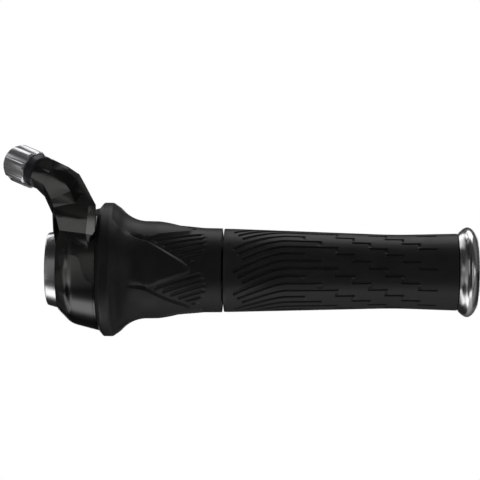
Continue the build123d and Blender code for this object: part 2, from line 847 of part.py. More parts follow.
def make_cage(start):
    end = start + cage_length
    body = tube(start, end, pitch_radius - cage_wall / 2, pitch_radius + cage_wall / 2)
    room = start + cage_rim
    pocket = along_bar(room, end - cage_rim, roller_diameter / 2 + slip_clearance, y=-pitch_radius)
    for index in range(roller_count):
        body -= around(360 / roller_count * index, pocket)
    return body


def make_rollers(cage_start):
    start = cage_start + cage_rim + slip_clearance
    roller = along_bar(start, start + roller_length, roller_diameter / 2, y=-pitch_radius)
    return [around(360 / roller_count * index, roller) for index in range(roller_count)]


def make_retaining_ring():
    inner = mandrel_radius - retaining_groove_depth
    body = tube(ring_start, ring_end, inner, race_radius - running_clearance)
    half = retaining_ring_gap_angle / 2
    return body - sector_prism(90 - half, 90 + half, ring_start - 1, ring_end + 1)


# Fixed grip
def fixed_profile():
    return FilletPolyline(
        (fixed_start, core_radius),
        (fixed_start, core_radius + fixed_start_rubber),
        (fixed_start + plain_band, core_radius + fixed_start_rubber - 0.1),
        (fixed_start + waist_distance, core_radius + fixed_waist_rubber - waist_corner_drop),
        (fixed_end, core_radius + fixed_end_rubber),
        (fixed_end, core_radius),
        radius=[fixed_edge_radius, fixed_shoulder_radius, waist_curve_radius, 0.2],
    )


def make_fixed_core():
    body = tube(core_start, fixed_end, bore_radius, core_radius)
    body += tube(fixed_end - 1, core_end, bore_radius, collar_sleeve_radius)
    socket_end = mandrel_end + running_clearance
    body -= along_bar(core_start - 1, socket_end, mandrel_radius + slip_clearance)
    key_start = finger_start + running_clearance
    keys = finger_gaps(key_inset) & tube(key_start, socket_end + 1, bore_radius, core_radius - slip_clearance)
    slot = Pos(collar_start, 0, 0) * Box(2 * collar_length, 2 * core_radius, collar_slot, align=BACK)
    slot = Pos(collar_length, 0, 0) * slot
    for index in range(collet_slot_count):
        body -= around(360 / collet_slot_count * (index + 0.5), slot)
    return body + keys


def tread_slots():
    """Staggered grooves of the tread and the slanted feather grooves that lead into it."""
    depth = 3 * tread_depth
    step = 360 / tread_rows
    tread_start = fixed_start + plain_band + feather_length + 2.0
    tread_stop = fixed_end - 4.0
    slots = []
    for row in range(tread_rows):
        offset = (-row * tread_stagger) % tread_pitch
        x = tread_start + offset
        while x + tread_slot_length < tread_stop:
            slots.append(around(step * row, tread_slot(x, x + tread_slot_length, depth)))
            x += tread_pitch
    return slots


def fixed_radius(x):
    """Radius of the fixed rubber by its straight runs."""
    start_r = core_radius + fixed_start_rubber
    waist_r = core_radius + fixed_waist_rubber
    end_r = core_radius + fixed_end_rubber
    along = x - fixed_start
    if along < waist_distance:
        return start_r + (waist_r - start_r) * along / waist_distance
    return waist_r + (end_r - waist_r) * (along - waist_distance) / (fixed_length - waist_distance)


def tread_slot(start, end, depth):
    middle = (start + end) / 2
    floor = fixed_radius(middle) - tread_depth
    slot = Box(end - start, 2 * depth, tread_slot_width, align=FRONT)
    return Pos(middle, -floor, 0) * slot


def feather_slots():
    """Slanted grooves at the inboard end of the fixed grip."""
    step = 360 / tread_rows
    run = feather_length / math.cos(math.radians(feather_angle))
    middle = fixed_start + plain_band + feather_length / 2
    slot = Box(run, 6 * tread_depth, tread_slot_width, align=FRONT)
    slot = Pos(middle, -(fixed_radius(middle) - tread_depth), 0) * Rot(0, -feather_angle, 0) * slot
    return [around(step * (row + 0.5), slot) for row in range(tread_rows)]


def make_fixed_rubber():
    body = filled_under(fixed_profile()) - along_bar(fixed_start - 1, fixed_end + 1, core_radius)
    return body - tread_slots() - feather_slots()


# Lock collar
lock_bolt_y = (collar_sleeve_radius + collar_flare_radius) / 2
lock_bolt_x = collar_start + collar_flare_distance
lock_seat = collar_slot / 2 + 3.0


def make_lock_collar():
    shell = filled_under(
        FilletPolyline(
            (collar_start, core_radius + fixed_end_rubber - 0.2),
            (collar_start + collar_flare_distance - 0.6, collar_flare_radius),
            (collar_start + collar_flare_distance + 1.2, collar_flare_radius),
            (collar_end - 0.4, collar_end_radius),
            (collar_end, collar_end_radius - 1.2),
            radius=[0.8, 1.6, 0.5],
        )
    )
    shell -= along_bar(collar_start - 1, collar_end - collar_lip, collar_sleeve_radius + slip_clearance)
    shell -= along_bar(collar_start - 1, collar_end + 1, bore_radius)
    middle = Pos((collar_start + collar_end) / 2, 0, 0)
    shell -= middle * Box(2 * collar_length, 2 * collar_flare_radius, collar_slot, align=BACK)
    hole = Cylinder(lock_bolt_diameter / 2 + screw_clearance, 3 * collar_flare_radius)
    shell -= Pos(lock_bolt_x, lock_bolt_y, 0) * hole
    seat = Cylinder(lock_bolt_head_diameter / 2 + screw_clearance, collar_flare_radius, align=BASE)
    return shell - Pos(lock_bolt_x, lock_bolt_y, lock_seat) * seat


def make_lock_bolt():
    length = lock_seat + math.sqrt(collar_flare_radius**2 - lock_bolt_y**2) - 2.5
    bolt = cap_screw(
        lock_bolt_diameter, length, lock_bolt_head_diameter, lock_bolt_head_height, lock_bolt_key
    )
    return Pos(lock_bolt_x, lock_bolt_y, lock_seat) * bolt


# Adjuster
knob_start = collar_ring_length + knob_gap
stem_length = knob_start + stem_travel + stem_engagement
knob_stop = knob_start + knob_length
ferrule_radius = ferrule_diameter / 2
bush_radius = ferrule_radius + ferrule_wall
bush_start = knob_stop - ferrule_depth - ferrule_floor


def make_insert():
    ring = Cylinder(insert_diameter / 2, insert_length, align=BASE)
    ring -= Cylinder(stem_diameter / 2 + slip_clearance, insert_length, align=BASE)
    return on_adjuster(Pos(0, 0, -insert_length) * ring)


def make_adjuster_collar():
    ring = Cylinder(collar_ring_diameter / 2, collar_ring_length, align=BASE)
    ring = chamfer(ring.edges().filter_by(GeomType.CIRCLE), 0.5)
    bore = Cylinder(stem_diameter / 2 + slip_clearance, collar_ring_length, align=BASE)
    return on_adjuster(ring - bore)


def make_adjuster_barrel():
    body = Pos(0, 0, knob_start) * Cylinder(knob_diameter / 2, knob_length, align=BASE)
    rims = body.edges().filter_by(GeomType.CIRCLE).sort_by(Axis.Z)
    body = chamfer(rims[-1:], length=knob_end_taper, length2=(knob_diameter - knob_end_diameter) / 2)
    rims = body.edges().filter_by(GeomType.CIRCLE).sort_by(Axis.Z)
    body = chamfer(rims[:1], 0.6)
    floor = knob_diameter / 2 - flute_depth
    flute = Pos(floor + flute_radius, 0, knob_start + knob_length / 2)
    flute *= Cylinder(flute_radius, 2 * knob_length)
    for index in range(flute_count):
        body -= Rot(0, 0, flute_phase + 360 / flute_count * index) * flute
    stem = Pos(0, 0, knob_start - stem_length) * Cylinder(stem_diameter / 2, stem_length + 1, align=BASE)
    body += stem
    body -= Pos(0, 0, bush_start) * Cylinder(bush_radius + slip_clearance, knob_length, align=BASE)
    body -= Pos(0, 0, knob_start - stem_length) * Cylinder(guide_bore / 2, 4 * knob_length, align=BASE)
    return on_adjuster(body)


def make_ferrule_seat():
    bush = Pos(0, 0, bush_start) * Cylinder(bush_radius, ferrule_depth + ferrule_floor, align=BASE)
    bush -= Pos(0, 0, bush_start + ferrule_floor) * Cylinder(ferrule_radius, ferrule_depth, align=BASE)
    bush -= Pos(0, 0, bush_start) * Cylinder(guide_bore / 2, ferrule_depth, align=BASE)
    return on_adjuster(bush)


PARTS = {
    "bar_clamp": make_bar_clamp,
    "clamp_bolt": make_clamp_bolt,
    "mandrel": make_mandrel,
    "mandrel_screws": make_mandrel_screws,
    "housing": make_housing,
    "front_cover": make_front_cover,
    "cover_screw": make_cover_screw,
    "cable_guide": make_cable_guide,
    "threaded_insert": make_insert,
    "adjuster_collar": make_adjuster_collar,
    "adjuster_barrel": make_adjuster_barrel,
    "ferrule_seat": make_ferrule_seat,
    "grip_sleeve": make_grip_sleeve,
    "twist_grip_rubber": make_twist_rubber,
    "cable_spool": make_spool,
    "index_ring": make_index_ring,
    "detent_spring": make_detent_spring,
    "dust_seal": make_dust_seal,
    "thrust_washer": lambda: tube(
        mandrel_flange_end, washer_end, mandrel_radius + slip_clearance, sleeve_radius
    ),
    "inboard_bearing_cage": lambda: make_cage(inboard_cage_start),
    "inboard_bearing_rollers": lambda: make_rollers(inboard_cage_start),
    "outboard_bearing_cage": lambda: make_cage(outboard_cage_start),
    "outboard_bearing_rollers": lambda: make_rollers(outboard_cage_start),
    "retaining_ring": make_retaining_ring,
    "wiper_seal": lambda: tube(wiper_start, wiper_end, mandrel_radius, race_radius - running_clearance),
    "stationary_core": make_fixed_core,
    "stationary_grip_rubber": make_fixed_rubber,
    "lock_collar": make_lock_collar,
    "lock_bolt": make_lock_bolt,
}


def main():
    os.makedirs("parts", exist_ok=True)
    for name, make in PARTS.items():
        made = make()
        solids = made if isinstance(made, list) else [made]
        whole = Compound(children=[solid for piece in solids for solid in piece.solids()])
        export_step(whole, f"parts/{name}.step")


main()
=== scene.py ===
"""Looks of the twist grip shifter: moulded rubber, glossy housing, turned metal and the studio round it.

Lengths are written in millimetres and angles in degrees round the bar, where 0 faces the rider and
positive goes up. MM turns lengths into the frame's metres.
"""
import json
import math

import bmesh
import bpy
from mathutils import Matrix, Vector


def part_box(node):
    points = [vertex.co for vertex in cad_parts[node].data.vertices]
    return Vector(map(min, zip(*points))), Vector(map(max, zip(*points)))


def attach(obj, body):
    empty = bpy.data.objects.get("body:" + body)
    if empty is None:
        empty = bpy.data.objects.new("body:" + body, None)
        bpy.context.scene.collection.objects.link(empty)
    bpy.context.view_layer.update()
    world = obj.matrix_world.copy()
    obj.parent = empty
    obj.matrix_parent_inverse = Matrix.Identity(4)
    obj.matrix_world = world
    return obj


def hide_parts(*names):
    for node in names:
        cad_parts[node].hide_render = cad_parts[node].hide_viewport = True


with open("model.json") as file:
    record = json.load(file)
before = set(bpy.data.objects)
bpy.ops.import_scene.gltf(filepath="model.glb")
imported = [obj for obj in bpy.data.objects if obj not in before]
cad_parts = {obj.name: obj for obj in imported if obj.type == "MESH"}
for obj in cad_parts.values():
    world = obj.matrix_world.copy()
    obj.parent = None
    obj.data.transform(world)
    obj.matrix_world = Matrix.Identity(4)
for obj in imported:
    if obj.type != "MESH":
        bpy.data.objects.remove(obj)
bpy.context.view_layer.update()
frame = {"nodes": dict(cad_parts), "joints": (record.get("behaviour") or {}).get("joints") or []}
nodes = frame["nodes"]

MM = 0.001


# Camera at the photograph's place
IMAGE_WIDTH = 203.4  # millimetres of the object across the picture
CAMERA_DISTANCE = 800.0
CAMERA_X, CAMERA_Z = 105.0, 12.7
AIM_X, AIM_Z = 81.4, 12.9
CAMERA_ROLL = 0.43
SENSOR = 36.0
CLIP_START, CLIP_END = 0.01, 20.0  # metres


def set_camera():
    data = bpy.data.cameras.new("camera")
    data.sensor_width = SENSOR
    data.lens = SENSOR * CAMERA_DISTANCE / IMAGE_WIDTH
    data.clip_start, data.clip_end = CLIP_START, CLIP_END
    camera = bpy.data.objects.new("camera", data)
    place = Vector((CAMERA_X, -CAMERA_DISTANCE, CAMERA_Z)) * MM
    aim = Vector((AIM_X, 0, AIM_Z)) * MM
    turn = (aim - place).to_track_quat("-Z", "Y").to_euler()
    camera.location = place
    camera.rotation_euler = turn
    camera.rotation_euler.rotate_axis("Z", math.radians(CAMERA_ROLL))
    bpy.context.scene.collection.objects.link(camera)
    bpy.context.scene.camera = camera


# Node helpers
def new_node(tree, kind, **settings):
    node = tree.nodes.new(kind)
    for name, value in settings.items():
        setattr(node, name, value)
    return node


def put(tree, socket, value):
    """Link an input to a socket, or set it to any other value."""
    if isinstance(value, bpy.types.NodeSocket):
        tree.links.new(value, socket)
    else:
        socket.default_value = value


def feed(tree, node, **values):
    """Put values into a node's inputs by name, with underscores for spaces."""
    for name, value in values.items():
        put(tree, node.inputs[name.replace("_", " ")], value)
    return node


def math_node(tree, operation, first, second=0.0):
    node = new_node(tree, "ShaderNodeMath", operation=operation)
    for socket, value in zip(node.inputs, (first, second)):
        put(tree, socket, value)
    return node.outputs[0]


def object_place(tree):
    """Node that gives the object coordinates one by one."""
    place = tree.nodes.new("ShaderNodeTexCoord").outputs["Object"]
    return feed(tree, tree.nodes.new("ShaderNodeSeparateXYZ"), Vector=place)


def new_group(name, inputs, outputs):
    """Shader group with float inputs given as name to default, and outputs as name to socket type."""
    tree = bpy.data.node_groups.new(name, "ShaderNodeTree")
    for label, value in inputs.items():
        socket = tree.interface.new_socket(label, in_out="INPUT", socket_type="NodeSocketFloat")
        socket.default_value = value
    for label, kind in outputs.items():
        tree.interface.new_socket(label, in_out="OUTPUT", socket_type=kind)
    return tree, tree.nodes.new("NodeGroupInput"), tree.nodes.new("NodeGroupOutput")


# Shared surface effects
NOISE_SPREAD, RING_SPREAD = 4.0, 3.0  # take a noise, which keeps near its middle, over the whole change
MIX_FACTOR, MIX_FIRST, MIX_SECOND, MIX_RESULT = 0, 6, 7, 2  # the colour mix's sockets


def moulded_grain():
    """Fine pebbled skin of a moulded surface, with slow changes in how it shines."""
    tree, given, out = new_group(
        "moulded_grain",
        {"Grain Size": 0.25, "Patch Size": 9.0, "Roughness": 0.5, "Roughness Change": 0.08},
        {"Height": "NodeSocketFloat", "Roughness": "NodeSocketFloat", "Patch": "NodeSocketFloat"},
    )
    place = tree.nodes.new("ShaderNodeTexCoord").outputs["Object"]
    fine = feed(
        tree,
        new_node(tree, "ShaderNodeTexNoise"),
        Vector=place,
        Scale=math_node(tree, "DIVIDE", 1 / MM, given.outputs["Grain Size"]),
        Detail=3.0,
        Roughness=0.6,
    )
    patch = feed(
        tree,
        new_node(tree, "ShaderNodeTexNoise"),
        Vector=place,
        Scale=math_node(tree, "DIVIDE", 1 / MM, given.outputs["Patch Size"]),
        Detail=4.0,
        Roughness=0.55,
    )
    swing = math_node(tree, "SUBTRACT", patch.outputs["Fac"], 0.5)
    swing = math_node(tree, "MULTIPLY", swing, given.outputs["Roughness Change"])
    swing = math_node(tree, "MULTIPLY", swing, NOISE_SPREAD)
    feed(
        tree,
        out,
        Height=fine.outputs["Fac"],
        Roughness=math_node(tree, "ADD", given.outputs["Roughness"], swing),
        Patch=patch.outputs["Fac"],
    )
    return tree


def turning_marks():
    """Fine rings that a lathe leaves round local X, and the scatter they give to the shine."""
    tree, given, out = new_group(
        "turning_marks",
        {"Ring Pitch": 0.12, "Roughness": 0.2, "Roughness Change": 0.06},
        {"Height": "NodeSocketFloat", "Roughness": "NodeSocketFloat"},
    )
    tree.interface.new_socket("Place", in_out="INPUT", socket_type="NodeSocketVector")
    parts = feed(tree, new_node(tree, "ShaderNodeSeparateXYZ"), Vector=given.outputs["Place"])
    across = math_node(tree, "POWER", parts.outputs["Y"], 2.0)
    across = math_node(tree, "ADD", across, math_node(tree, "POWER", parts.outputs["Z"], 2.0))
    across = math_node(tree, "SQRT", across)
    reach = math_node(tree, "ADD", parts.outputs["X"], across)
    reach = math_node(tree, "DIVIDE", reach, MM)
    reach = math_node(tree, "DIVIDE", reach, given.outputs["Ring Pitch"])
    rings = feed(
        tree,
        new_node(tree, "ShaderNodeTexNoise", noise_dimensions="1D"),
        W=reach,
        Scale=1.0,
        Detail=2.0,
    )
    swing = math_node(tree, "SUBTRACT", rings.outputs["Fac"], 0.5)
    swing = math_node(tree, "MULTIPLY", swing, given.outputs["Roughness Change"])
    swing = math_node(tree, "MULTIPLY", swing, RING_SPREAD)
    feed(
        tree,
        out,
        Height=rings.outputs["Fac"],
        Roughness=math_node(tree, "ADD", given.outputs["Roughness"], swing),
    )
    return tree


def tone_change():
    """Colour that shifts a little, lighter or darker, with a patch mask."""
    tree, given, out = new_group("tone_change", {"Patch": 0.5, "Amount": 0.3}, {"Color": "NodeSocketColor"})
    tree.interface.new_socket("Color", in_out="INPUT", socket_type="NodeSocketColor")
    swing = math_node(tree, "SUBTRACT", given.outputs["Patch"], 0.5)
    swing = math_node(tree, "MULTIPLY", swing, given.outputs["Amount"])
    value = math_node(tree, "ADD", swing, 1.0)
    shift = feed(tree, new_node(tree, "ShaderNodeHueSaturation"), Value=value, Color=given.outputs["Color"])
    feed(tree, out, Color=shift.outputs["Color"])
    return tree


def painted_shade_below():
    """Mask of painted shade, which rises from 0 to 1 below the bar's middle."""
    tree, given, out = new_group("painted_shade_below", {"Top": -5.0, "Bottom": -9.0}, {"Mask": "NodeSocketFloat"})
    place = object_place(tree)
    level = math_node(tree, "DIVIDE", place.outputs["Z"], MM)
    span = feed(
        tree,
        new_node(tree, "ShaderNodeMapRange", interpolation_type="SMOOTHSTEP"),
        Value=level,
        From_Min=given.outputs["Top"],
        From_Max=given.outputs["Bottom"],
    )
    feed(tree, out, Mask=span.outputs["Result"])
    return tree


def neck_dish():
    """Height in millimetres of the arm's neck, whose inboard faces round away towards its top."""
    tree, given, out = new_group(
        "neck_dish", {"Start": 20.5, "End": 27.5, "Bend": 0.03}, {"Height": "NodeSocketFloat"}
    )
    place = object_place(tree)
    level = math_node(tree, "DIVIDE", place.outputs["Z"], MM)
    level = math_node(tree, "MINIMUM", level, given.outputs["End"])
    level = math_node(tree, "SUBTRACT", level, given.outputs["Start"])
    level = math_node(tree, "MAXIMUM", level, 0.0)
    drop = math_node(tree, "MULTIPLY", math_node(tree, "POWER", level, 2.0), given.outputs["Bend"])
    facing = feed(
        tree,
        tree.nodes.new("ShaderNodeSeparateXYZ"),
        Vector=tree.nodes.new("ShaderNodeNewGeometry").outputs["True Normal"],
    )
    inboard = math_node(tree, "LESS_THAN", facing.outputs["X"], 0.0)
    drop = math_node(tree, "MULTIPLY", drop, inboard)
    feed(tree, out, Height=math_node(tree, "MULTIPLY", drop, -1.0))
    return tree


GRAIN = moulded_grain()
RINGS = turning_marks()
TONE = tone_change()
# mask for the painted shade below the bar's middle
PAINTED_SHADE_MASK = painted_shade_below()
DISH = neck_dish()


def new_material(name):
    material = bpy.data.materials.new(name)
    material.use_nodes = True
    tree = material.node_tree
    return material, tree, tree.nodes["Principled BSDF"]


def use_group(tree, group, **values):
    node = new_node(tree, "ShaderNodeGroup", node_tree=group)
    return feed(tree, node, **values)


def bump(tree, height, depth):
    """Normal from a height that stands for the given depth in millimetres."""
    return feed(tree, new_node(tree, "ShaderNodeBump"), Height=height, Distance=depth * MM, Strength=1.0)


def moulded(
    name,
    colour,
    roughness,
    change,
    grain,
    depth,
    patch=9.0,
    amount=0.5,
    painted_shade_colour=None,
    relief=None,
    **shine,
):
    """Moulded plastic or rubber, turning to a darker second colour below the bar as painted shade, and with
    a relief, if given.
    """
    material, tree, shader = new_material(name)
    skin = use_group(
        tree, GRAIN, Grain_Size=grain, Patch_Size=patch, Roughness=roughness, Roughness_Change=change
    )
    base = (*colour, 1)
    # painted shade: below the bar's middle the colour turns darker
    if painted_shade_colour:
        shade_mix = new_node(tree, "ShaderNodeMix", data_type="RGBA")
        put(tree, shade_mix.inputs[MIX_FACTOR], use_group(tree, PAINTED_SHADE_MASK).outputs["Mask"])
        put(tree, shade_mix.inputs[MIX_FIRST], base)
        put(tree, shade_mix.inputs[MIX_SECOND], (*painted_shade_colour, 1))
        base = shade_mix.outputs[MIX_RESULT]
    tone = use_group(tree, TONE, Patch=skin.outputs["Patch"], Amount=amount, Color=base)
    surface = bump(tree, skin.outputs["Height"], depth)
    if relief:
        shape = bump(tree, use_group(tree, relief).outputs["Height"], 1.0)
        feed(tree, surface, Normal=shape.outputs["Normal"])
    feed(
        tree,
        shader,
        Base_Color=tone.outputs["Color"],
        Roughness=skin.outputs["Roughness"],
        Normal=surface.outputs["Normal"],
        **shine,
    )
    return material


METAL_GRAIN, METAL_PATCH, METAL_TONE = 0.4, 6.0, 0.12


def turned_metal(
    name, colour, roughness, change, pitch, depth, axis=(1, 0, 0), origin=(0, 0, 0), metallic=1.0
):
    """Metal with lathe rings round an axis through an origin, in millimetres."""
    material, tree, shader = new_material(name)
    place = tree.nodes.new("ShaderNodeTexCoord").outputs["Object"]
    turn = Vector(axis).rotation_difference(Vector((1, 0, 0))).to_euler()
    centre = turn.to_matrix() @ Vector(origin) * -MM
    mapping = feed(tree, tree.nodes.new("ShaderNodeMapping"), Vector=place, Rotation=turn, Location=centre)
    rings = use_group(
        tree,
        RINGS,
        Place=mapping.outputs["Vector"],
        Ring_Pitch=pitch,
        Roughness=roughness,
        Roughness_Change=change,
    )
    skin = use_group(tree, GRAIN, Grain_Size=METAL_GRAIN, Patch_Size=METAL_PATCH)
    tone = use_group(tree, TONE, Patch=skin.outputs["Patch"], Amount=METAL_TONE, Color=(*colour, 1))
    feed(
        tree,
        shader,
        Base_Color=tone.outputs["Color"],
        Metallic=metallic,
        Roughness=rings.outputs["Roughness"],
        Normal=bump(tree, rings.outputs["Height"], depth).outputs["Normal"],
    )
    return material


# Flat patterns rolled round the bar
def rolled_round_bar():
    """Tree that rolls a flat mesh of (x, angle, radius) round the bar and repeats it all round."""
    tree = bpy.data.node_groups.new("rolled_round_bar", "GeometryNodeTree")
    tree.is_modifier = True
    add_socket = tree.interface.new_socket
    add_socket("Geometry", in_out="INPUT", socket_type="NodeSocketGeometry")
    add_socket("Copies", in_out="INPUT", socket_type="NodeSocketInt")
    add_socket("Weld Distance", in_out="INPUT", socket_type="NodeSocketFloat")
    add_socket("Finish", in_out="INPUT", socket_type="NodeSocketMaterial")
    add_socket("Geometry", in_out="OUTPUT", socket_type="NodeSocketGeometry")
    given, out = tree.nodes.new("NodeGroupInput"), tree.nodes.new("NodeGroupOutput")

    place = tree.nodes.new("GeometryNodeInputPosition").outputs["Position"]
    flat = feed(tree, new_node(tree, "ShaderNodeSeparateXYZ"), Vector=place)
    level = math_node(tree, "MULTIPLY", flat.outputs["Z"], math_node(tree, "COSINE", flat.outputs["Y"]))
    level = math_node(tree, "MULTIPLY", level, -1.0)
    height = math_node(tree, "MULTIPLY", flat.outputs["Z"], math_node(tree, "SINE", flat.outputs["Y"]))
    rolled = feed(tree, new_node(tree, "ShaderNodeCombineXYZ"), X=flat.outputs["X"], Y=level, Z=height)
    wrap = feed(
        tree,
        new_node(tree, "GeometryNodeSetPosition"),
        Geometry=given.outputs["Geometry"],
        Position=rolled.outputs["Vector"],
    )

    line = feed(
        tree, new_node(tree, "GeometryNodeMeshLine"), Count=given.outputs["Copies"], Offset=(0, 0, 0)
    )
    step = math_node(tree, "DIVIDE", math.tau, given.outputs["Copies"])
    turn = math_node(tree, "MULTIPLY", tree.nodes.new("GeometryNodeInputIndex").outputs["Index"], step)
    euler = feed(tree, new_node(tree, "ShaderNodeCombineXYZ"), X=turn)
    rotation = feed(tree, new_node(tree, "FunctionNodeEulerToRotation"), Euler=euler.outputs["Vector"])
    copies = feed(
        tree,
        new_node(tree, "GeometryNodeInstanceOnPoints"),
        Points=line.outputs["Mesh"],
        Instance=wrap.outputs["Geometry"],
        Rotation=rotation.outputs["Rotation"],
    )
    real = feed(tree, new_node(tree, "GeometryNodeRealizeInstances"), Geometry=copies.outputs["Instances"])
    weld = feed(
        tree,
        new_node(tree, "GeometryNodeMergeByDistance"),
        Geometry=real.outputs["Geometry"],
        Distance=given.outputs["Weld Distance"],
    )
    finish = feed(
        tree,
        new_node(tree, "GeometryNodeSetMaterial"),
        Geometry=weld.outputs["Geometry"],
        Material=given.outputs["Finish"],
    )
    feed(tree, out, Geometry=finish.outputs["Geometry"])
    return tree


ROLL = rolled_round_bar()
WELD = 0.004  # millimetres
SMOOTH_ANGLE = 32.0


def set_input(modifier, tree, name, value):
    for item in tree.interface.items_tree:
        if item.item_type == "SOCKET" and item.in_out == "INPUT" and item.name == name:
            modifier[item.identifier] = value


def shade(mesh, angle=SMOOTH_ANGLE):
    mesh.shade_smooth()
    mesh.set_sharp_from_angle(angle=math.radians(angle))


def add_object(name, mesh):
    piece = bpy.data.objects.new(name, mesh)
    bpy.context.scene.collection.objects.link(piece)
    return piece


def evaluated_mesh(piece):
    graph = bpy.context.evaluated_depsgraph_get()
    return bpy.data.meshes.new_from_object(piece.evaluated_get(graph))


def tidy_mesh(mesh):
    work = bmesh.new()
    work.from_mesh(mesh)
    bmesh.ops.remove_doubles(work, verts=work.verts, dist=WELD * MM)
    bmesh.ops.dissolve_degenerate(work, dist=WELD * MM, edges=work.edges)
    bmesh.ops.recalc_face_normals(work, faces=work.faces)
    work.to_mesh(mesh)
    work.free()


def roll_sheet(name, columns, copies, material):
    """Piece from columns of (x, angle, radius) rows, the last joined to the first, repeated all round."""
    points = [
        (x * MM, math.radians(angle), radius * MM) for column in columns for x, angle, radius in column
    ]
    rows = len(columns[0])
    faces = []
    for index in range(len(columns)):
        here, there = index * rows, (index + 1) % len(columns) * rows
        for row in range(rows - 1):
            faces.append((here + row, there + row, there + row + 1, here + row + 1))
    mesh = bpy.data.meshes.new(name)
    mesh.from_pydata(points, [], faces)
    piece = add_object(name, mesh)
    modifier = piece.modifiers.new("roll", "NODES")
    modifier.node_group = ROLL
    set_input(modifier, ROLL, "Copies", copies)
    set_input(modifier, ROLL, "Weld Distance", WELD * MM)
    set_input(modifier, ROLL, "Finish", material)
    made = evaluated_mesh(piece)
    piece.modifiers.clear()
    tidy_mesh(made)
    shade(made)
    piece.data = made
    return piece


# Profiles
def rounded(corners, radii, step):
    """Points along straight runs whose inner corners are rounded, no further apart than the step."""
    corners = [Vector(corner) for corner in corners]
    ends = [corners[0]]
    runs = []
    for before, corner, after, radius in zip(corners, corners[1:], corners[2:], radii):
        into, away = (before - corner).normalized(), (after - corner).normalized()
        half = into.angle(away) / 2
        reach = radius / math.tan(half)
        middle = corner + (into + away).normalized() * (radius / math.sin(half))
        first, last = corner + into * reach, corner + away * reach
        runs.append((ends[-1], first))
        count = max(2, math.ceil(radius * (math.pi - 2 * half) / step))
        start, stop = first - middle, last - middle
        arc = [middle + start.slerp(stop, index / count) * radius for index in range(count + 1)]
        runs.append(arc)
        ends.append(last)
    runs.append((ends[-1], corners[-1]))
    points = []
    for run in runs:
        if len(run) == 2:
            count = max(1, math.ceil((run[1] - run[0]).length / step))
            run = [run[0].lerp(run[1], index / count) for index in range(count + 1)]
        points.extend(run if not points else run[1:])
    return [(point.x, point.y) for point in points]


def along(points, x):
    """Value at x of a line through (x, value) points, carried on past its ends."""
    for (x0, v0), (x1, v1) in zip(points, points[1:]):
        if x <= x1 or (x1, v1) == points[-1]:
            return v0 + (v1 - v0) * (x - x0) / (x1 - x0)


STATION_GAP = 0.02  # points of a profile that lie closer are left out


def with_stations(profile, stations):
    """Profile with points added where a pattern turns."""
    extra = [(x, along(profile, x)) for x in stations if profile[0][0] < x < profile[-1][0]]
    merged = sorted([*profile, *extra])
    pairs = zip([(-math.inf, 0), *merged], merged)
    return [point for before, point in pairs if point[0] - before[0] > STATION_GAP]


def smooth(share):
    share = min(max(share, 0.0), 1.0)
    return share * share * (3 - 2 * share)


# Twist grip
TWIST_START, TWIST_END = (corner.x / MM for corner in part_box("twist_grip_rubber"))
FLANGE_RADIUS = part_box("twist_grip_rubber")[1].z / MM
SLEEVE_RADIUS = 16.41
DISC_RADIUS, DISC_END = 24.16, TWIST_START + 4.0
DISC_SLOPE = 0.8  # length by which the disc's back runs on for each millimetre it drops
DISC_FOOT = DISC_END + DISC_SLOPE * (DISC_RADIUS - SLEEVE_RADIUS)
NECK_RADIUS, TWIST_END_RADIUS = 19.9, 17.9
FLANGE_EDGE = TWIST_START + 5.6
FLANGE_BEVEL, BEVEL_LENGTH, FLANGE_SLOPE = 2.0, 1.6, 46.0
NECK_DISTANCE, NECK_TAPER = 25.0, 0.2
END_BAND, END_TAPER = 7.5, 0.1
TWIST_ROUNDING = [1.0, 1.6, 14.0, 20.0, 20.0]  # radii of the profile's inner corners
TWIST_STEP = 0.5  # between points along the profile
TWIST_STRIDE = 6  # spacing of the inner wall's stations, in points
FOOT_ROOM = 2.0  # between the disc's foot and the nearest of them
SECTORS = 6
SECTOR = 360 / SECTORS
# Leading and trailing edges of a blade, as distance along the bar and angle
BLADE_LEAD = [
    (22.0, 60.0), (27.0, 52.0), (31.0, 45.5), (36.4, 40.0), (42.7, 36.0), (57.8, 10.0), (61.8, 0.6),
]
BLADE_TRAIL = [(34.5, -18.1), (42.7, -17.8), (61.8, 0.6), (74.0, 12.4)]
BLADE_TIP = BLADE_LEAD[-1][0]
BLADE_ROOT = BLADE_TRAIL[0][0]
BLADE_ROWS = 18
CREST, RIM = 0.88, 0.75  # heights of the leading and trailing edges
LEAD_WIDTH, TRAIL_WIDTH = 1.2, 1.3
ROLL_OFF = 3  # power by which a blade drops to its trailing edge
ROOT_FADE, FLANGE_FADE, TIP_FADE = 7.0, 3.4, 1.6  # lengths over which a blade's height comes and goes
# Fins: angles across, depth, and the outboard ends, which lie on an arc
FIN_PITCH, FIN_GROOVE, FIN_WALL, FIN_DEPTH = 8.4, 5.6, 2.4, 0.55
FIN_COUNT = 6
FIN_START, FIN_MARGIN = 1.4, 1.36
FINS_END, FIN_ARC, FIN_MIDDLE, FIN_SPREAD = 68.6, 3.0, 2.0, 3.0
FIN_SIDE_FADE, FIN_END_FADE = 2.2, 2.6


def blade_height(share, x):
    """Blade that stands highest along its leading edge and rolls off to its trailing edge."""
    rim = RIM * smooth((x - BLADE_ROOT) / ROOT_FADE)
    height = CREST - (CREST - rim) * share**ROLL_OFF
    return height * smooth((x - FLANGE_EDGE) / FLANGE_FADE) * smooth((BLADE_TIP - x) / TIP_FADE)


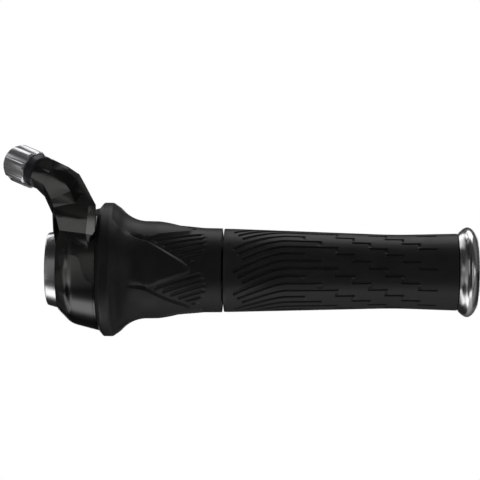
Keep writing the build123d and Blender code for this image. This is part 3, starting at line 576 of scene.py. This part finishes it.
def twist_rows(x, radius):
    """One sector's rows at one station: angle and radius, from a blade's leading edge down to the next."""
    lead = along(BLADE_LEAD, x) if x < BLADE_TIP else along(BLADE_TRAIL, x)
    rise, edge = math.degrees(LEAD_WIDTH / radius), math.degrees(TRAIL_WIDTH / radius)
    width = SECTOR - rise - edge
    if x > BLADE_ROOT:
        width = min(width, max(lead - along(BLADE_TRAIL, x), 0.0))
    rows = []
    for index in range(BLADE_ROWS + 1):
        share = index / BLADE_ROWS
        rows.append((width * share, blade_height(share, x)))
    rows.append((width + edge, 0.0))
    room = SECTOR - width - rise - edge
    for fin in range(FIN_COUNT):
        start = FIN_START + FIN_PITCH * fin
        end_x = FINS_END - FIN_ARC * ((fin - FIN_MIDDLE) / FIN_SPREAD) ** 2
        depth = FIN_DEPTH * smooth((room - FIN_MARGIN - start - FIN_GROOVE) / FIN_SIDE_FADE)
        depth *= smooth((end_x - x) / FIN_END_FADE)
        for offset, share in ((0, 0), (FIN_WALL, 1), (FIN_GROOVE - FIN_WALL, 1), (FIN_GROOVE, 0)):
            rows.append((width + edge + min(start + offset, max(room, 0.0)), -depth * share))
    rows.append((SECTOR - rise, 0.0))
    rows.append((SECTOR, blade_height(0.0, x)))
    return [(x, lead - drop, radius + height) for drop, height in rows]


def make_twist_rubber(material):
    flare = (FLANGE_RADIUS - NECK_RADIUS) / math.tan(math.radians(FLANGE_SLOPE))
    profile = rounded(
        [
            (TWIST_START, FLANGE_RADIUS - FLANGE_BEVEL),
            (TWIST_START + BEVEL_LENGTH, FLANGE_RADIUS),
            (FLANGE_EDGE, FLANGE_RADIUS),
            (FLANGE_EDGE + flare, NECK_RADIUS),
            (TWIST_START + NECK_DISTANCE, NECK_RADIUS - NECK_TAPER),
            (TWIST_END - END_BAND, TWIST_END_RADIUS),
            (TWIST_END, TWIST_END_RADIUS - END_TAPER),
        ],
        TWIST_ROUNDING,
        TWIST_STEP,
    )
    profile = with_stations(profile, [x for x, _ in BLADE_LEAD + BLADE_TRAIL])
    columns = [twist_rows(x, radius) for x, radius in profile]
    inner = [(DISC_END, DISC_RADIUS), (DISC_FOOT, SLEEVE_RADIUS)]
    back = [(TWIST_END, SLEEVE_RADIUS)]
    inside = profile[-TWIST_STRIDE:0:-TWIST_STRIDE]
    back += [(x, SLEEVE_RADIUS) for x, _ in inside if x > DISC_FOOT + FOOT_ROOM]
    back += [*reversed(inner), (TWIST_START, DISC_RADIUS)]
    for x, radius in back:
        columns.append([(x, angle, radius) for _, angle, _ in twist_rows(x, radius)])
    return roll_sheet("twist_rubber", columns, SECTORS, material)


# Fixed grip
FIXED_START, FIXED_END = (corner.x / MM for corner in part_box("stationary_grip_rubber"))
CORE_RADIUS = 13.7
FIXED_PROFILE = [(0.0, 2.0), (0.02, 4.0), (5.0, 3.9), (72.0, 1.85)]  # distance from the start, rubber
END_RUBBER = 2.55
FIXED_ROUNDING = [0.7, 4.0, 260.0]  # radii of the profile's inner corners
FIXED_STEP = 0.9  # between points along the profile
FIXED_STRIDE = 8  # spacing of the inner wall's stations, in points
TREAD_ROWS = 33
ROWS_EACH = 3  # rows before the tread repeats
TREAD_ANGLE = 360 / TREAD_ROWS
TREAD_PITCH = 20.6
TREAD_STEP = TREAD_PITCH / ROWS_EACH
RISER = 1.5  # width of the step that joins a dash to the next row's
DASH_LENGTH, DASH_TAPER = TREAD_STEP + RISER, 0.45
TREAD_DEPTH, FEATHER_DEPTH, RISER_DEPTH = 0.6, 0.75, 0.4
FEATHER_START, FEATHER_END = FIXED_START + 4.4, FIXED_START + 27.0
FEATHER_STAGGER = (0.0, 1.8, 3.6)
FEATHER_RISE, FEATHER_CURVE = 27.0, 1.6
FEATHER_BLEND = 14.0  # length over which the feathers' grooves narrow to the tread's
GROOVE_ANGLE, WALL_ANGLE = 3.9, 1.2
FEATHER_GROOVE, FEATHER_WALL = 2.0, 1.0  # angles by which the feathers' grooves are wider
FIRST_END = FIXED_START + 34.6  # where the feathers' first row stops
TREAD_TOP = -4.0  # angle of the first row
TREAD_END = FIXED_END - 2.6


def feather_drop(x):
    """Angle by which a groove lies below its straight run, where it sweeps up from the inboard end."""
    share = min(max((x - FEATHER_START) / (FEATHER_END - FEATHER_START), 0.0), 1.0)
    return FEATHER_RISE * (1 - share) ** FEATHER_CURVE


def dashes(row):
    """Start and end of each groove in a row; the first runs on from the feather."""
    first = FIRST_END + TREAD_STEP * row
    spans = [(FEATHER_START + FEATHER_STAGGER[row], first)]
    start = first + TREAD_PITCH - DASH_LENGTH
    while start + DASH_LENGTH < TREAD_END:
        spans.append((start, start + DASH_LENGTH))
        start += TREAD_PITCH
    return spans


def groove_depth(row, x):
    for start, end in dashes(row):
        if start < x < end:
            depth = FEATHER_DEPTH if x < FEATHER_END else TREAD_DEPTH
            return depth * smooth((x - start) / DASH_TAPER) * smooth((end - x) / DASH_TAPER)
    return 0.0


def riser_depth(row, x):
    """Depth of the land under a row, cut through where the row's dash steps down to the next."""
    for _, end in dashes(row):
        if end - RISER < x < end and end < TREAD_END - TREAD_STEP:
            return RISER_DEPTH * smooth((x - end + RISER) / DASH_TAPER) * smooth((end - x) / DASH_TAPER)
    return 0.0


def fixed_rows(x, radius):
    """Rows of one repeat of the tread at one station."""
    sweep = feather_drop(x)
    share = smooth((FEATHER_END - x) / FEATHER_BLEND)
    groove = GROOVE_ANGLE + FEATHER_GROOVE * share
    wall = WALL_ANGLE + FEATHER_WALL * share
    rows = []
    for row in range(ROWS_EACH):
        top = TREAD_TOP - TREAD_ANGLE * row - sweep
        depth = groove_depth(row, x)
        step = riser_depth(row, x)
        for offset, part in ((0, 0), (wall, 1), (groove - wall, 1), (groove, 0)):
            rows.append((x, top - offset, radius - depth * part))
        rows.append((x, top - (groove + TREAD_ANGLE) / 2, radius - step))
    rows.append((x, TREAD_TOP - TREAD_ANGLE * ROWS_EACH - sweep, radius))
    return rows


def make_fixed_rubber(material):
    corners = [(FIXED_START + x, CORE_RADIUS + rubber) for x, rubber in FIXED_PROFILE]
    corners.append((FIXED_END, CORE_RADIUS + END_RUBBER))
    profile = rounded(corners, FIXED_ROUNDING, FIXED_STEP)
    turns = {FEATHER_START, FEATHER_END}
    for row in range(ROWS_EACH):
        for start, end in dashes(row):
            turns.update((start, start + DASH_TAPER, end - DASH_TAPER, end))
    profile = with_stations(profile, sorted(turns))
    columns = [fixed_rows(x, radius) for x, radius in profile]
    back = [(FIXED_END, CORE_RADIUS)]
    back += [(x, CORE_RADIUS) for x, _ in profile[-FIXED_STRIDE:0:-FIXED_STRIDE]]
    back += [(FIXED_START, CORE_RADIUS)]
    for x, radius in back:
        columns.append([(x, angle, radius) for _, angle, _ in fixed_rows(x, radius)])
    return roll_sheet("fixed_rubber", columns, TREAD_ROWS // ROWS_EACH, material)


# Rigid pieces: a copy of each solid with its edges broken
SEAM_WELD = 0.001  # millimetres
FLAT_ANGLE = 0.4  # triangles that meet at less lie in one face
EDGE_ANGLE, EDGE_SEGMENTS = 14.0, 2


def welded_copy(node):
    """Copy of a node's mesh, and its triangles joined for work on them."""
    mesh = nodes[node].data.copy()
    mesh.name = node + "_shown"
    mesh.materials.clear()
    work = bmesh.new()
    work.from_mesh(mesh)
    bmesh.ops.remove_doubles(work, verts=work.verts, dist=SEAM_WELD * MM)
    return mesh, work


def broken_edges(node, width):
    mesh, work = welded_copy(node)
    bmesh.ops.dissolve_limit(
        work, angle_limit=math.radians(FLAT_ANGLE), verts=work.verts, edges=work.edges
    )
    work.to_mesh(mesh)
    work.free()
    shade(mesh, EDGE_ANGLE)
    piece = add_object(node + "_shown", mesh)
    bevel = piece.modifiers.new("broken_edges", "BEVEL")
    bevel.width = width * MM
    bevel.segments = EDGE_SEGMENTS
    bevel.limit_method = "ANGLE"
    bevel.angle_limit = math.radians(EDGE_ANGLE)
    bevel.miter_outer = "MITER_ARC"
    bevel.use_clamp_overlap = True
    made = evaluated_mesh(piece)
    piece.modifiers.clear()
    shade(made, EDGE_ANGLE)
    piece.data = made
    return piece


# Lock collar, whose outside is rounded over the solid's cones
COLLAR_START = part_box("lock_collar")[0].x / MM
# The solid's cones, as distance from the inboard end and radius
COLLAR_CONES = [(0.0, 16.05), (3.5, 19.05), (5.3, 19.05), (8.1, 16.6), (8.5, 15.4)]
COLLAR_CREST, COLLAR_LENGTH = 4.4, 8.5
COLLAR_RADIUS, COLLAR_RISE, COLLAR_FALL = 19.05, 3.0, 3.65
RISE_CURVE, FALL_CURVE = 1.7, 2
COLLAR_RINGS = 17
COLLAR_SKIN = 0.3  # corners this near the cones lie on the outside


def collar_radius(distance):
    """Radius of the rounded outside."""
    if distance < COLLAR_CREST:
        return COLLAR_RADIUS - COLLAR_RISE * (1 - distance / COLLAR_CREST) ** RISE_CURVE
    share = (distance - COLLAR_CREST) / (COLLAR_LENGTH - COLLAR_CREST)
    return COLLAR_RADIUS - COLLAR_FALL * share**FALL_CURVE


def make_rounded_collar():
    mesh, work = welded_copy("lock_collar")
    for ring in range(1, COLLAR_RINGS):
        x = (COLLAR_START + COLLAR_LENGTH * ring / COLLAR_RINGS) * MM
        parts = [*work.verts, *work.edges, *work.faces]
        bmesh.ops.bisect_plane(
            work, geom=parts, dist=SEAM_WELD * MM, plane_co=(x, 0, 0), plane_no=(1, 0, 0)
        )
    for vert in work.verts:
        distance = vert.co.x / MM - COLLAR_START
        radius = math.hypot(vert.co.y, vert.co.z) / MM
        if abs(radius - along(COLLAR_CONES, distance)) < COLLAR_SKIN:
            share = collar_radius(distance) / radius
            vert.co.y *= share
            vert.co.z *= share
    work.to_mesh(mesh)
    work.free()
    shade(mesh)
    return add_object("lock_collar_shown", mesh)


def show(piece, node, body, material=None):
    if material:
        piece.data.materials.clear()
        piece.data.materials.append(material)
    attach(piece, body)
    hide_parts(node)


def paint(node, material):
    nodes[node].data.materials.clear()
    nodes[node].data.materials.append(material)


# Studio, in metres
TENT_RADIUS = 1.7
TENT_SEGMENTS, CARD_SEGMENTS = 96, 8
TENT_STATIONS = (-1.1, -0.14, 1.4)
BACK_GAP = 14.0  # degrees each side of straight behind that are left open to the white background
# Brightness of the tent round the bar, by angle from the camera's side
TENT_BANDS = {
    "head_end": [
        (-165, 0.02), (-125, 0.02), (-112, 0.06), (-104, 0.3), (-98, 1.0), (-92, 1.25), (-74, 1.25),
        (-68, 0.5), (-62, 0.05), (-30, 0.03), (-20, 0.03), (30, 0.03), (40, 0.02), (82, 0.02),
        (108, 0.03), (114, 0.12), (120, 0.5), (126, 0.95), (133, 1.25), (150, 1.25), (156, 0.1),
        (165, 0.05),
    ],
    "grip_end": [
        (-165, 0.05), (-140, 0.12), (-110, 0.3), (-70, 0.5), (-66, 1.0), (-51, 1.0), (-46, 0.03),
        (-30, 0.03), (-20, 0.03), (30, 0.03), (40, 0.03), (82, 0.04), (93, 0.14), (99, 1.3),
        (130, 1.3), (138, 0.07), (165, 0.05),
    ],
    "left_core": [
        (-165, 0.05), (-120, 0.08), (-80, 0.2), (-60, 0.25), (-40, 0.18), (-10, 0.13), (6, 0.18),
        (14, 0.32), (24, 0.27), (45, 0.25), (60, 0.05), (165, 0.04),
    ],
    "left_middle": [
        (-150, 0.03), (-134, 0.1), (-122, 0.3), (-112, 1.1), (-100, 1.1), (-92, 0.5), (-82, 0.12),
        (-71, 0.08), (-59, 0.09), (-47, 0.2), (-33, 0.4), (-20, 0.24), (9, 0.155), (36, 0.107),
        (49, 0.06), (74, 0.03), (84, 0.05), (95, 0.15), (104, 0.38), (114, 0.45), (125, 0.9),
        (140, 0.9), (150, 0.03),
    ],
    "left_rim": [
        (-165, 0.03), (-134, 0.1), (-124, 0.3), (-116, 1.1), (-100, 1.1), (-94, 0.7), (-88, 1.0),
        (-74, 1.1), (-66, 0.7), (-58, 0.15), (-45, 0.05), (-30, 0.06), (-10, 0.1), (10, 0.14),
        (28, 0.16), (38, 0.06), (50, 0.03), (75, 0.02), (92, 0.04), (104, 0.35), (114, 0.45),
        (125, 0.8), (140, 0.9), (150, 0.03),
    ],
    "right_end": [
        (-140, 0.03), (-100, 0.2), (-80, 0.2), (-60, 0.03), (-45, 0.2), (-20, 0.26), (-8, 0.66),
        (24, 0.64), (30, 0.06), (80, 0.03), (100, 0.1), (125, 0.14), (150, 0.06),
    ],
}
TENT_SLOTS = {name: slot for slot, name in enumerate(TENT_BANDS)}
LEFT_RADII = {"left_rim": 1.3, "left_middle": 0.62}  # inner radii of the left wall's two rings
# Cards hung in the tent: span of distance along the bar, of angle and of radius, and brightness
CARDS = {
    "saddle_card": ((-1.09, -1.09), (-100, -46), (0.5, 0.95), 0.02),
    "shoulder_card": ((-1.09, -1.09), (72, 165), (0.5, 0.98), 0.03),
    "brow_card": ((-1.09, -1.09), (31, 72), (0.41, 0.64), 0.02),
    "back_card": ((-1.1, -0.8), (160, 200), (1.68, 1.68), 0.02),
    "top_card": ((-0.75, -0.25), (85, 97), (1.68, 1.68), 0.38),
    "knob_card": ((-0.72, -0.28), (104, 122), (1.68, 1.68), 1.3),
    "rim_card": ((-0.55, -0.12), (130, 176), (1.68, 1.68), 0.06),
    "crest_card": ((-0.9, -0.3), (-4, 34), (1.69, 1.69), 0.3),
    "bead_card": ((1.39, 1.39), (-16, 34), (0.58, 1.35), 0.17),
    "fold_card": ((0.45, 1.35), (-40, 45), (1.68, 1.68), 0.015),
}


def round_bar(x, degrees, radius):
    """Point at an angle round the bar."""
    angle = math.radians(degrees)
    return x, -radius * math.cos(angle), radius * math.sin(angle)


def spread(first, last, count):
    """Values at even steps from first to last."""
    return [first + (last - first) * index / count for index in range(count + 1)]


def only_seen_in_shine(piece):
    piece.visible_camera = False
    piece.visible_diffuse = False
    piece.visible_shadow = False


def tent_finish(name):
    """Glow that changes with the angle round the bar."""
    material = bpy.data.materials.new("tent_" + name)
    material.use_nodes = True
    tree = material.node_tree
    tree.nodes.clear()
    place = object_place(tree)
    level = math_node(tree, "MULTIPLY", place.outputs["Y"], -1.0)
    angle = math_node(tree, "ARCTAN2", place.outputs["Z"], level)
    share = math_node(tree, "ADD", math_node(tree, "DIVIDE", angle, math.tau), 0.5)
    ramp = feed(tree, tree.nodes.new("ShaderNodeValToRGB"), Fac=share)
    stops = ramp.color_ramp.elements
    while len(stops) > 1:
        stops.remove(stops[-1])
    stops[0].position = 0.0
    stops[0].color = (0, 0, 0, 1)
    for degrees, value in TENT_BANDS[name]:
        stops.new(degrees / 360 + 0.5).color = (value, value, value, 1)
    glow = feed(tree, tree.nodes.new("ShaderNodeEmission"), Color=ramp.outputs["Color"], Strength=1.0)
    feed(tree, tree.nodes.new("ShaderNodeOutputMaterial"), Surface=glow.outputs["Emission"])
    return material


def make_tent():
    """Tunnel along the bar, open behind, whose bands the shiny surfaces mirror."""
    work = bmesh.new()
    angles = spread(BACK_GAP - 180, 180 - BACK_GAP, TENT_SEGMENTS)
    rings = []
    for x in TENT_STATIONS:
        rings.append([work.verts.new(round_bar(x, angle, TENT_RADIUS)) for angle in angles])
    for name, near, far in zip(("head_end", "grip_end"), rings, rings[1:]):
        for index in range(TENT_SEGMENTS):
            face = work.faces.new((near[index], near[index + 1], far[index + 1], far[index]))
            face.material_index = TENT_SLOTS[name]
    work.faces.new(rings[-1]).material_index = TENT_SLOTS["right_end"]
    outer = rings[0]
    for name, radius in LEFT_RADII.items():
        share = radius / TENT_RADIUS
        inner = [work.verts.new((vert.co.x, vert.co.y * share, vert.co.z * share)) for vert in rings[0]]
        for index in range(TENT_SEGMENTS + 1):
            after = (index + 1) % (TENT_SEGMENTS + 1)
            face = work.faces.new((outer[index], outer[after], inner[after], inner[index]))
            face.material_index = TENT_SLOTS[name]
        outer = inner
    work.faces.new(outer).material_index = TENT_SLOTS["left_core"]
    mesh = bpy.data.meshes.new("tent")
    work.to_mesh(mesh)
    work.free()
    for name in TENT_BANDS:
        mesh.materials.append(tent_finish(name))
    tent = add_object("tent", mesh)
    only_seen_in_shine(tent)


def make_card(name, stations, angles, radii, value):
    """Card of one brightness, given by spans of x, angle and radius."""
    work = bmesh.new()
    turns = spread(*angles, CARD_SEGMENTS)
    near, far = (
        [work.verts.new(round_bar(x, turn, radius)) for turn in turns] for x, radius in zip(stations, radii)
    )
    for index in range(CARD_SEGMENTS):
        work.faces.new((near[index], near[index + 1], far[index + 1], far[index]))
    mesh = bpy.data.meshes.new(name)
    work.to_mesh(mesh)
    work.free()
    material, tree, shader = new_material(name)
    glow = feed(tree, tree.nodes.new("ShaderNodeEmission"), Color=(value, value, value, 1), Strength=1.0)
    feed(tree, tree.nodes["Material Output"], Surface=glow.outputs["Emission"])
    tree.nodes.remove(shader)
    mesh.materials.append(material)
    card = add_object(name, mesh)
    only_seen_in_shine(card)


FLOOR_LEVEL, FLOOR_SIZE = -0.2, 3.0


def make_floor():
    """Pale floor below the picture, clear when seen from underneath."""
    work = bmesh.new()
    bmesh.ops.create_grid(work, x_segments=1, y_segments=1, size=FLOOR_SIZE)
    mesh = bpy.data.meshes.new("floor")
    work.to_mesh(mesh)
    work.free()
    mesh.transform(Matrix.Translation((0, 0, FLOOR_LEVEL)))
    floor = add_object("floor", mesh)
    floor.visible_glossy = False
    material, tree, shader = new_material("pale_floor")
    feed(tree, shader, Base_Color=(0.95, 0.95, 0.95, 1), Roughness=0.9)
    white = feed(tree, tree.nodes.new("ShaderNodeEmission"), Color=(1, 1, 1, 1), Strength=1.0)
    path = tree.nodes.new("ShaderNodeLightPath")
    lit = feed(tree, tree.nodes.new("ShaderNodeMixShader"), Fac=path.outputs["Is Camera Ray"])
    tree.links.new(shader.outputs["BSDF"], lit.inputs[1])
    tree.links.new(white.outputs["Emission"], lit.inputs[2])
    clear = tree.nodes.new("ShaderNodeBsdfTransparent")
    behind = tree.nodes.new("ShaderNodeNewGeometry").outputs["Backfacing"]
    under = feed(tree, tree.nodes.new("ShaderNodeMixShader"), Fac=behind)
    tree.links.new(lit.outputs["Shader"], under.inputs[1])
    tree.links.new(clear.outputs["BSDF"], under.inputs[2])
    feed(tree, tree.nodes["Material Output"], Surface=under.outputs["Shader"])
    mesh.materials.append(material)


LAMP_AIM = (0.09, 0, 0)
# Lamps: place, size and power
LAMPS = {
    "top_strip": ((0.09, 0.1, 0.9), (1.6, 0.5), 6.0),
    "low_strip": ((0.09, -0.35, -0.16), (0.9, 0.2), 1.0),
    "fill": ((0.0, -1.2, 0.5), (0.8, 0.8), 4.0),
}


def make_lamp(name, place, size, power):
    data = bpy.data.lights.new(name, "AREA")
    data.shape = "RECTANGLE"
    data.size, data.size_y = size
    data.energy = power
    lamp = bpy.data.objects.new(name, data)
    lamp.location = place
    lamp.rotation_euler = (Vector(LAMP_AIM) - Vector(place)).to_track_quat("-Z", "Y").to_euler()
    lamp.visible_camera = False
    lamp.visible_glossy = False
    bpy.context.scene.collection.objects.link(lamp)


WORLD_LIGHT = 0.5  # what the white surroundings shed on dull surfaces


def make_world():
    """White to the eye and in mirrors, soft grey for the light it sheds."""
    world = bpy.data.worlds.new("studio")
    bpy.context.scene.world = world
    world.use_nodes = True
    tree = world.node_tree
    tree.nodes.clear()
    path = tree.nodes.new("ShaderNodeLightPath")
    seen = math_node(tree, "MAXIMUM", path.outputs["Is Camera Ray"], path.outputs["Is Glossy Ray"])
    seen = math_node(tree, "MAXIMUM", seen, path.outputs["Is Transmission Ray"])
    strength = math_node(tree, "MAXIMUM", seen, WORLD_LIGHT)
    back = feed(tree, tree.nodes.new("ShaderNodeBackground"), Color=(1, 1, 1, 1), Strength=strength)
    feed(tree, tree.nodes.new("ShaderNodeOutputWorld"), Surface=back.outputs["Background"])


# Finishes
ADJUSTER = next(joint for joint in frame["joints"] if joint["name"] == "adjuster_turn")
ADJUSTER_AXIS = tuple(ADJUSTER["axis"])
ADJUSTER_END = tuple(value / MM for value in ADJUSTER["pos_m"])

# Settings that finishes share
RUBBER_SKIN = {
    "roughness": 0.42, "change": 0.05, "grain": 0.22, "depth": 0.012, "Specular_IOR_Level": 0.42,
}
GLOSS_SKIN = {"change": 0.03, "grain": 0.5, "depth": 0.002, "amount": 0.1, "Metallic": 1.0}
PLATED = {"change": 0.08, "pitch": 0.1, "depth": 0.004}
POLISHED = {"change": 0.05, "pitch": 0.16, "depth": 0.004}
AT_ADJUSTER = {"axis": ADJUSTER_AXIS, "origin": ADJUSTER_END}

black_rubber = moulded("black_rubber", (0.0048, 0.0048, 0.0049), **RUBBER_SKIN)
twist_black = moulded("twist_black", (0.0034, 0.0034, 0.0035), **RUBBER_SKIN)
grey_rubber = moulded(
    "grey_rubber", (0.05, 0.05, 0.052), roughness=0.6, change=0.06, grain=0.25, depth=0.02
)
housing_gloss = moulded(
    "housing_gloss",
    (0.21, 0.21, 0.2),
    roughness=0.14,
    patch=14.0,
    # painted shade: darker colour below the bar's middle
    painted_shade_colour=(0.1, 0.1, 0.098),
    relief=DISH,
    **GLOSS_SKIN,
)
cover_gloss = moulded(
    "cover_gloss",
    (0.3, 0.3, 0.29),
    roughness=0.18,
    patch=12.0,
    # painted shade: darker colour below the bar's middle
    painted_shade_colour=(0.11, 0.11, 0.108),
    **GLOSS_SKIN,
)
ring_black = moulded(
    "ring_black",
    (0.006, 0.005, 0.008),
    roughness=0.3,
    change=0.05,
    grain=0.4,
    depth=0.004,
    Specular_IOR_Level=0.6,
)
inner_nylon = moulded(
    "inner_nylon", (0.03, 0.03, 0.032), roughness=0.5, change=0.06, grain=0.3, depth=0.01
)
white_acetal = moulded(
    "white_acetal", (0.75, 0.74, 0.7), roughness=0.38, change=0.06, grain=0.3, depth=0.004, amount=0.08
)
bright_aluminium = turned_metal("bright_aluminium", (0.84, 0.84, 0.85), roughness=0.17, **POLISHED)
knob_aluminium = turned_metal(
    "knob_aluminium", (0.82, 0.82, 0.84), roughness=0.19, metallic=0.95, **POLISHED, **AT_ADJUSTER
)
black_anodised = turned_metal(
    "black_anodised", (0.03, 0.03, 0.032), roughness=0.4, change=0.08, pitch=0.2, depth=0.006
)
zinc_steel = turned_metal("zinc_steel", (0.55, 0.55, 0.56), roughness=0.32, **PLATED)
black_steel = turned_metal("black_steel", (0.06, 0.06, 0.065), roughness=0.35, **PLATED)
spring_steel = turned_metal(
    "spring_steel", (0.5, 0.5, 0.52), roughness=0.25, change=0.06, pitch=0.1, depth=0.003
)
bearing_steel = turned_metal(
    "bearing_steel", (0.7, 0.7, 0.72), roughness=0.12, change=0.03, pitch=0.1, depth=0.002
)
brass = turned_metal(
    "brass", (0.75, 0.58, 0.27), roughness=0.25, change=0.06, pitch=0.14, depth=0.004, **AT_ADJUSTER
)

# Pieces that show: body, slot, finish and width of the broken edges
SHOWN = {
    "housing": ("housing", "black_nylon", housing_gloss, 0.3),
    "front_cover": ("housing", "black_nylon", cover_gloss, 0.25),
    "adjuster_collar": ("housing", "black_nylon", ring_black, 0.2),
    "bar_clamp": ("housing", "bright_aluminium", bright_aluminium, 0.2),
    "clamp_bolt": ("housing", "zinc_steel", zinc_steel, 0.12),
    "lock_bolt": ("housing", "black_steel", black_steel, 0.12),
    "cover_screw": ("housing", "black_steel", black_steel, 0.08),
    "mandrel": ("housing", "satin_aluminium", black_anodised, 0.12),
    "adjuster_barrel": ("adjuster", "bright_aluminium", knob_aluminium, 0.22),
    "ferrule_seat": ("ferrule", "inner_nylon", inner_nylon, 0.15),
}
# Nodes that keep their solid's mesh
PAINTED = {
    "mandrel_screws": zinc_steel,
    "cable_guide": white_acetal,
    "threaded_insert": brass,
    "grip_sleeve": black_anodised,
    "cable_spool": white_acetal,
    "index_ring": white_acetal,
    "detent_spring": spring_steel,
    "dust_seal": grey_rubber,
    "thrust_washer": white_acetal,
    "inboard_bearing_cage": inner_nylon,
    "inboard_bearing_rollers": bearing_steel,
    "outboard_bearing_cage": inner_nylon,
    "outboard_bearing_rollers": bearing_steel,
    "retaining_ring": black_steel,
    "wiper_seal": black_rubber,
    "stationary_core": inner_nylon,
}


def dress():
    for node, (body, slot, material, width) in SHOWN.items():
        show(broken_edges(node, width), node, body, material)
    for node, material in PAINTED.items():
        paint(node, material)
    show(make_rounded_collar(), "lock_collar", "housing", bright_aluminium)
    show(make_twist_rubber(twist_black), "twist_grip_rubber", "twist_grip")
    show(make_fixed_rubber(black_rubber), "stationary_grip_rubber", "housing")


def light():
    make_world()
    make_tent()
    for name, card in CARDS.items():
        make_card(name, *card)
    make_floor()
    for name, lamp in LAMPS.items():
        make_lamp(name, *lamp)
    bpy.context.scene.view_settings.view_transform = "Standard"


set_camera()
dress()
light()
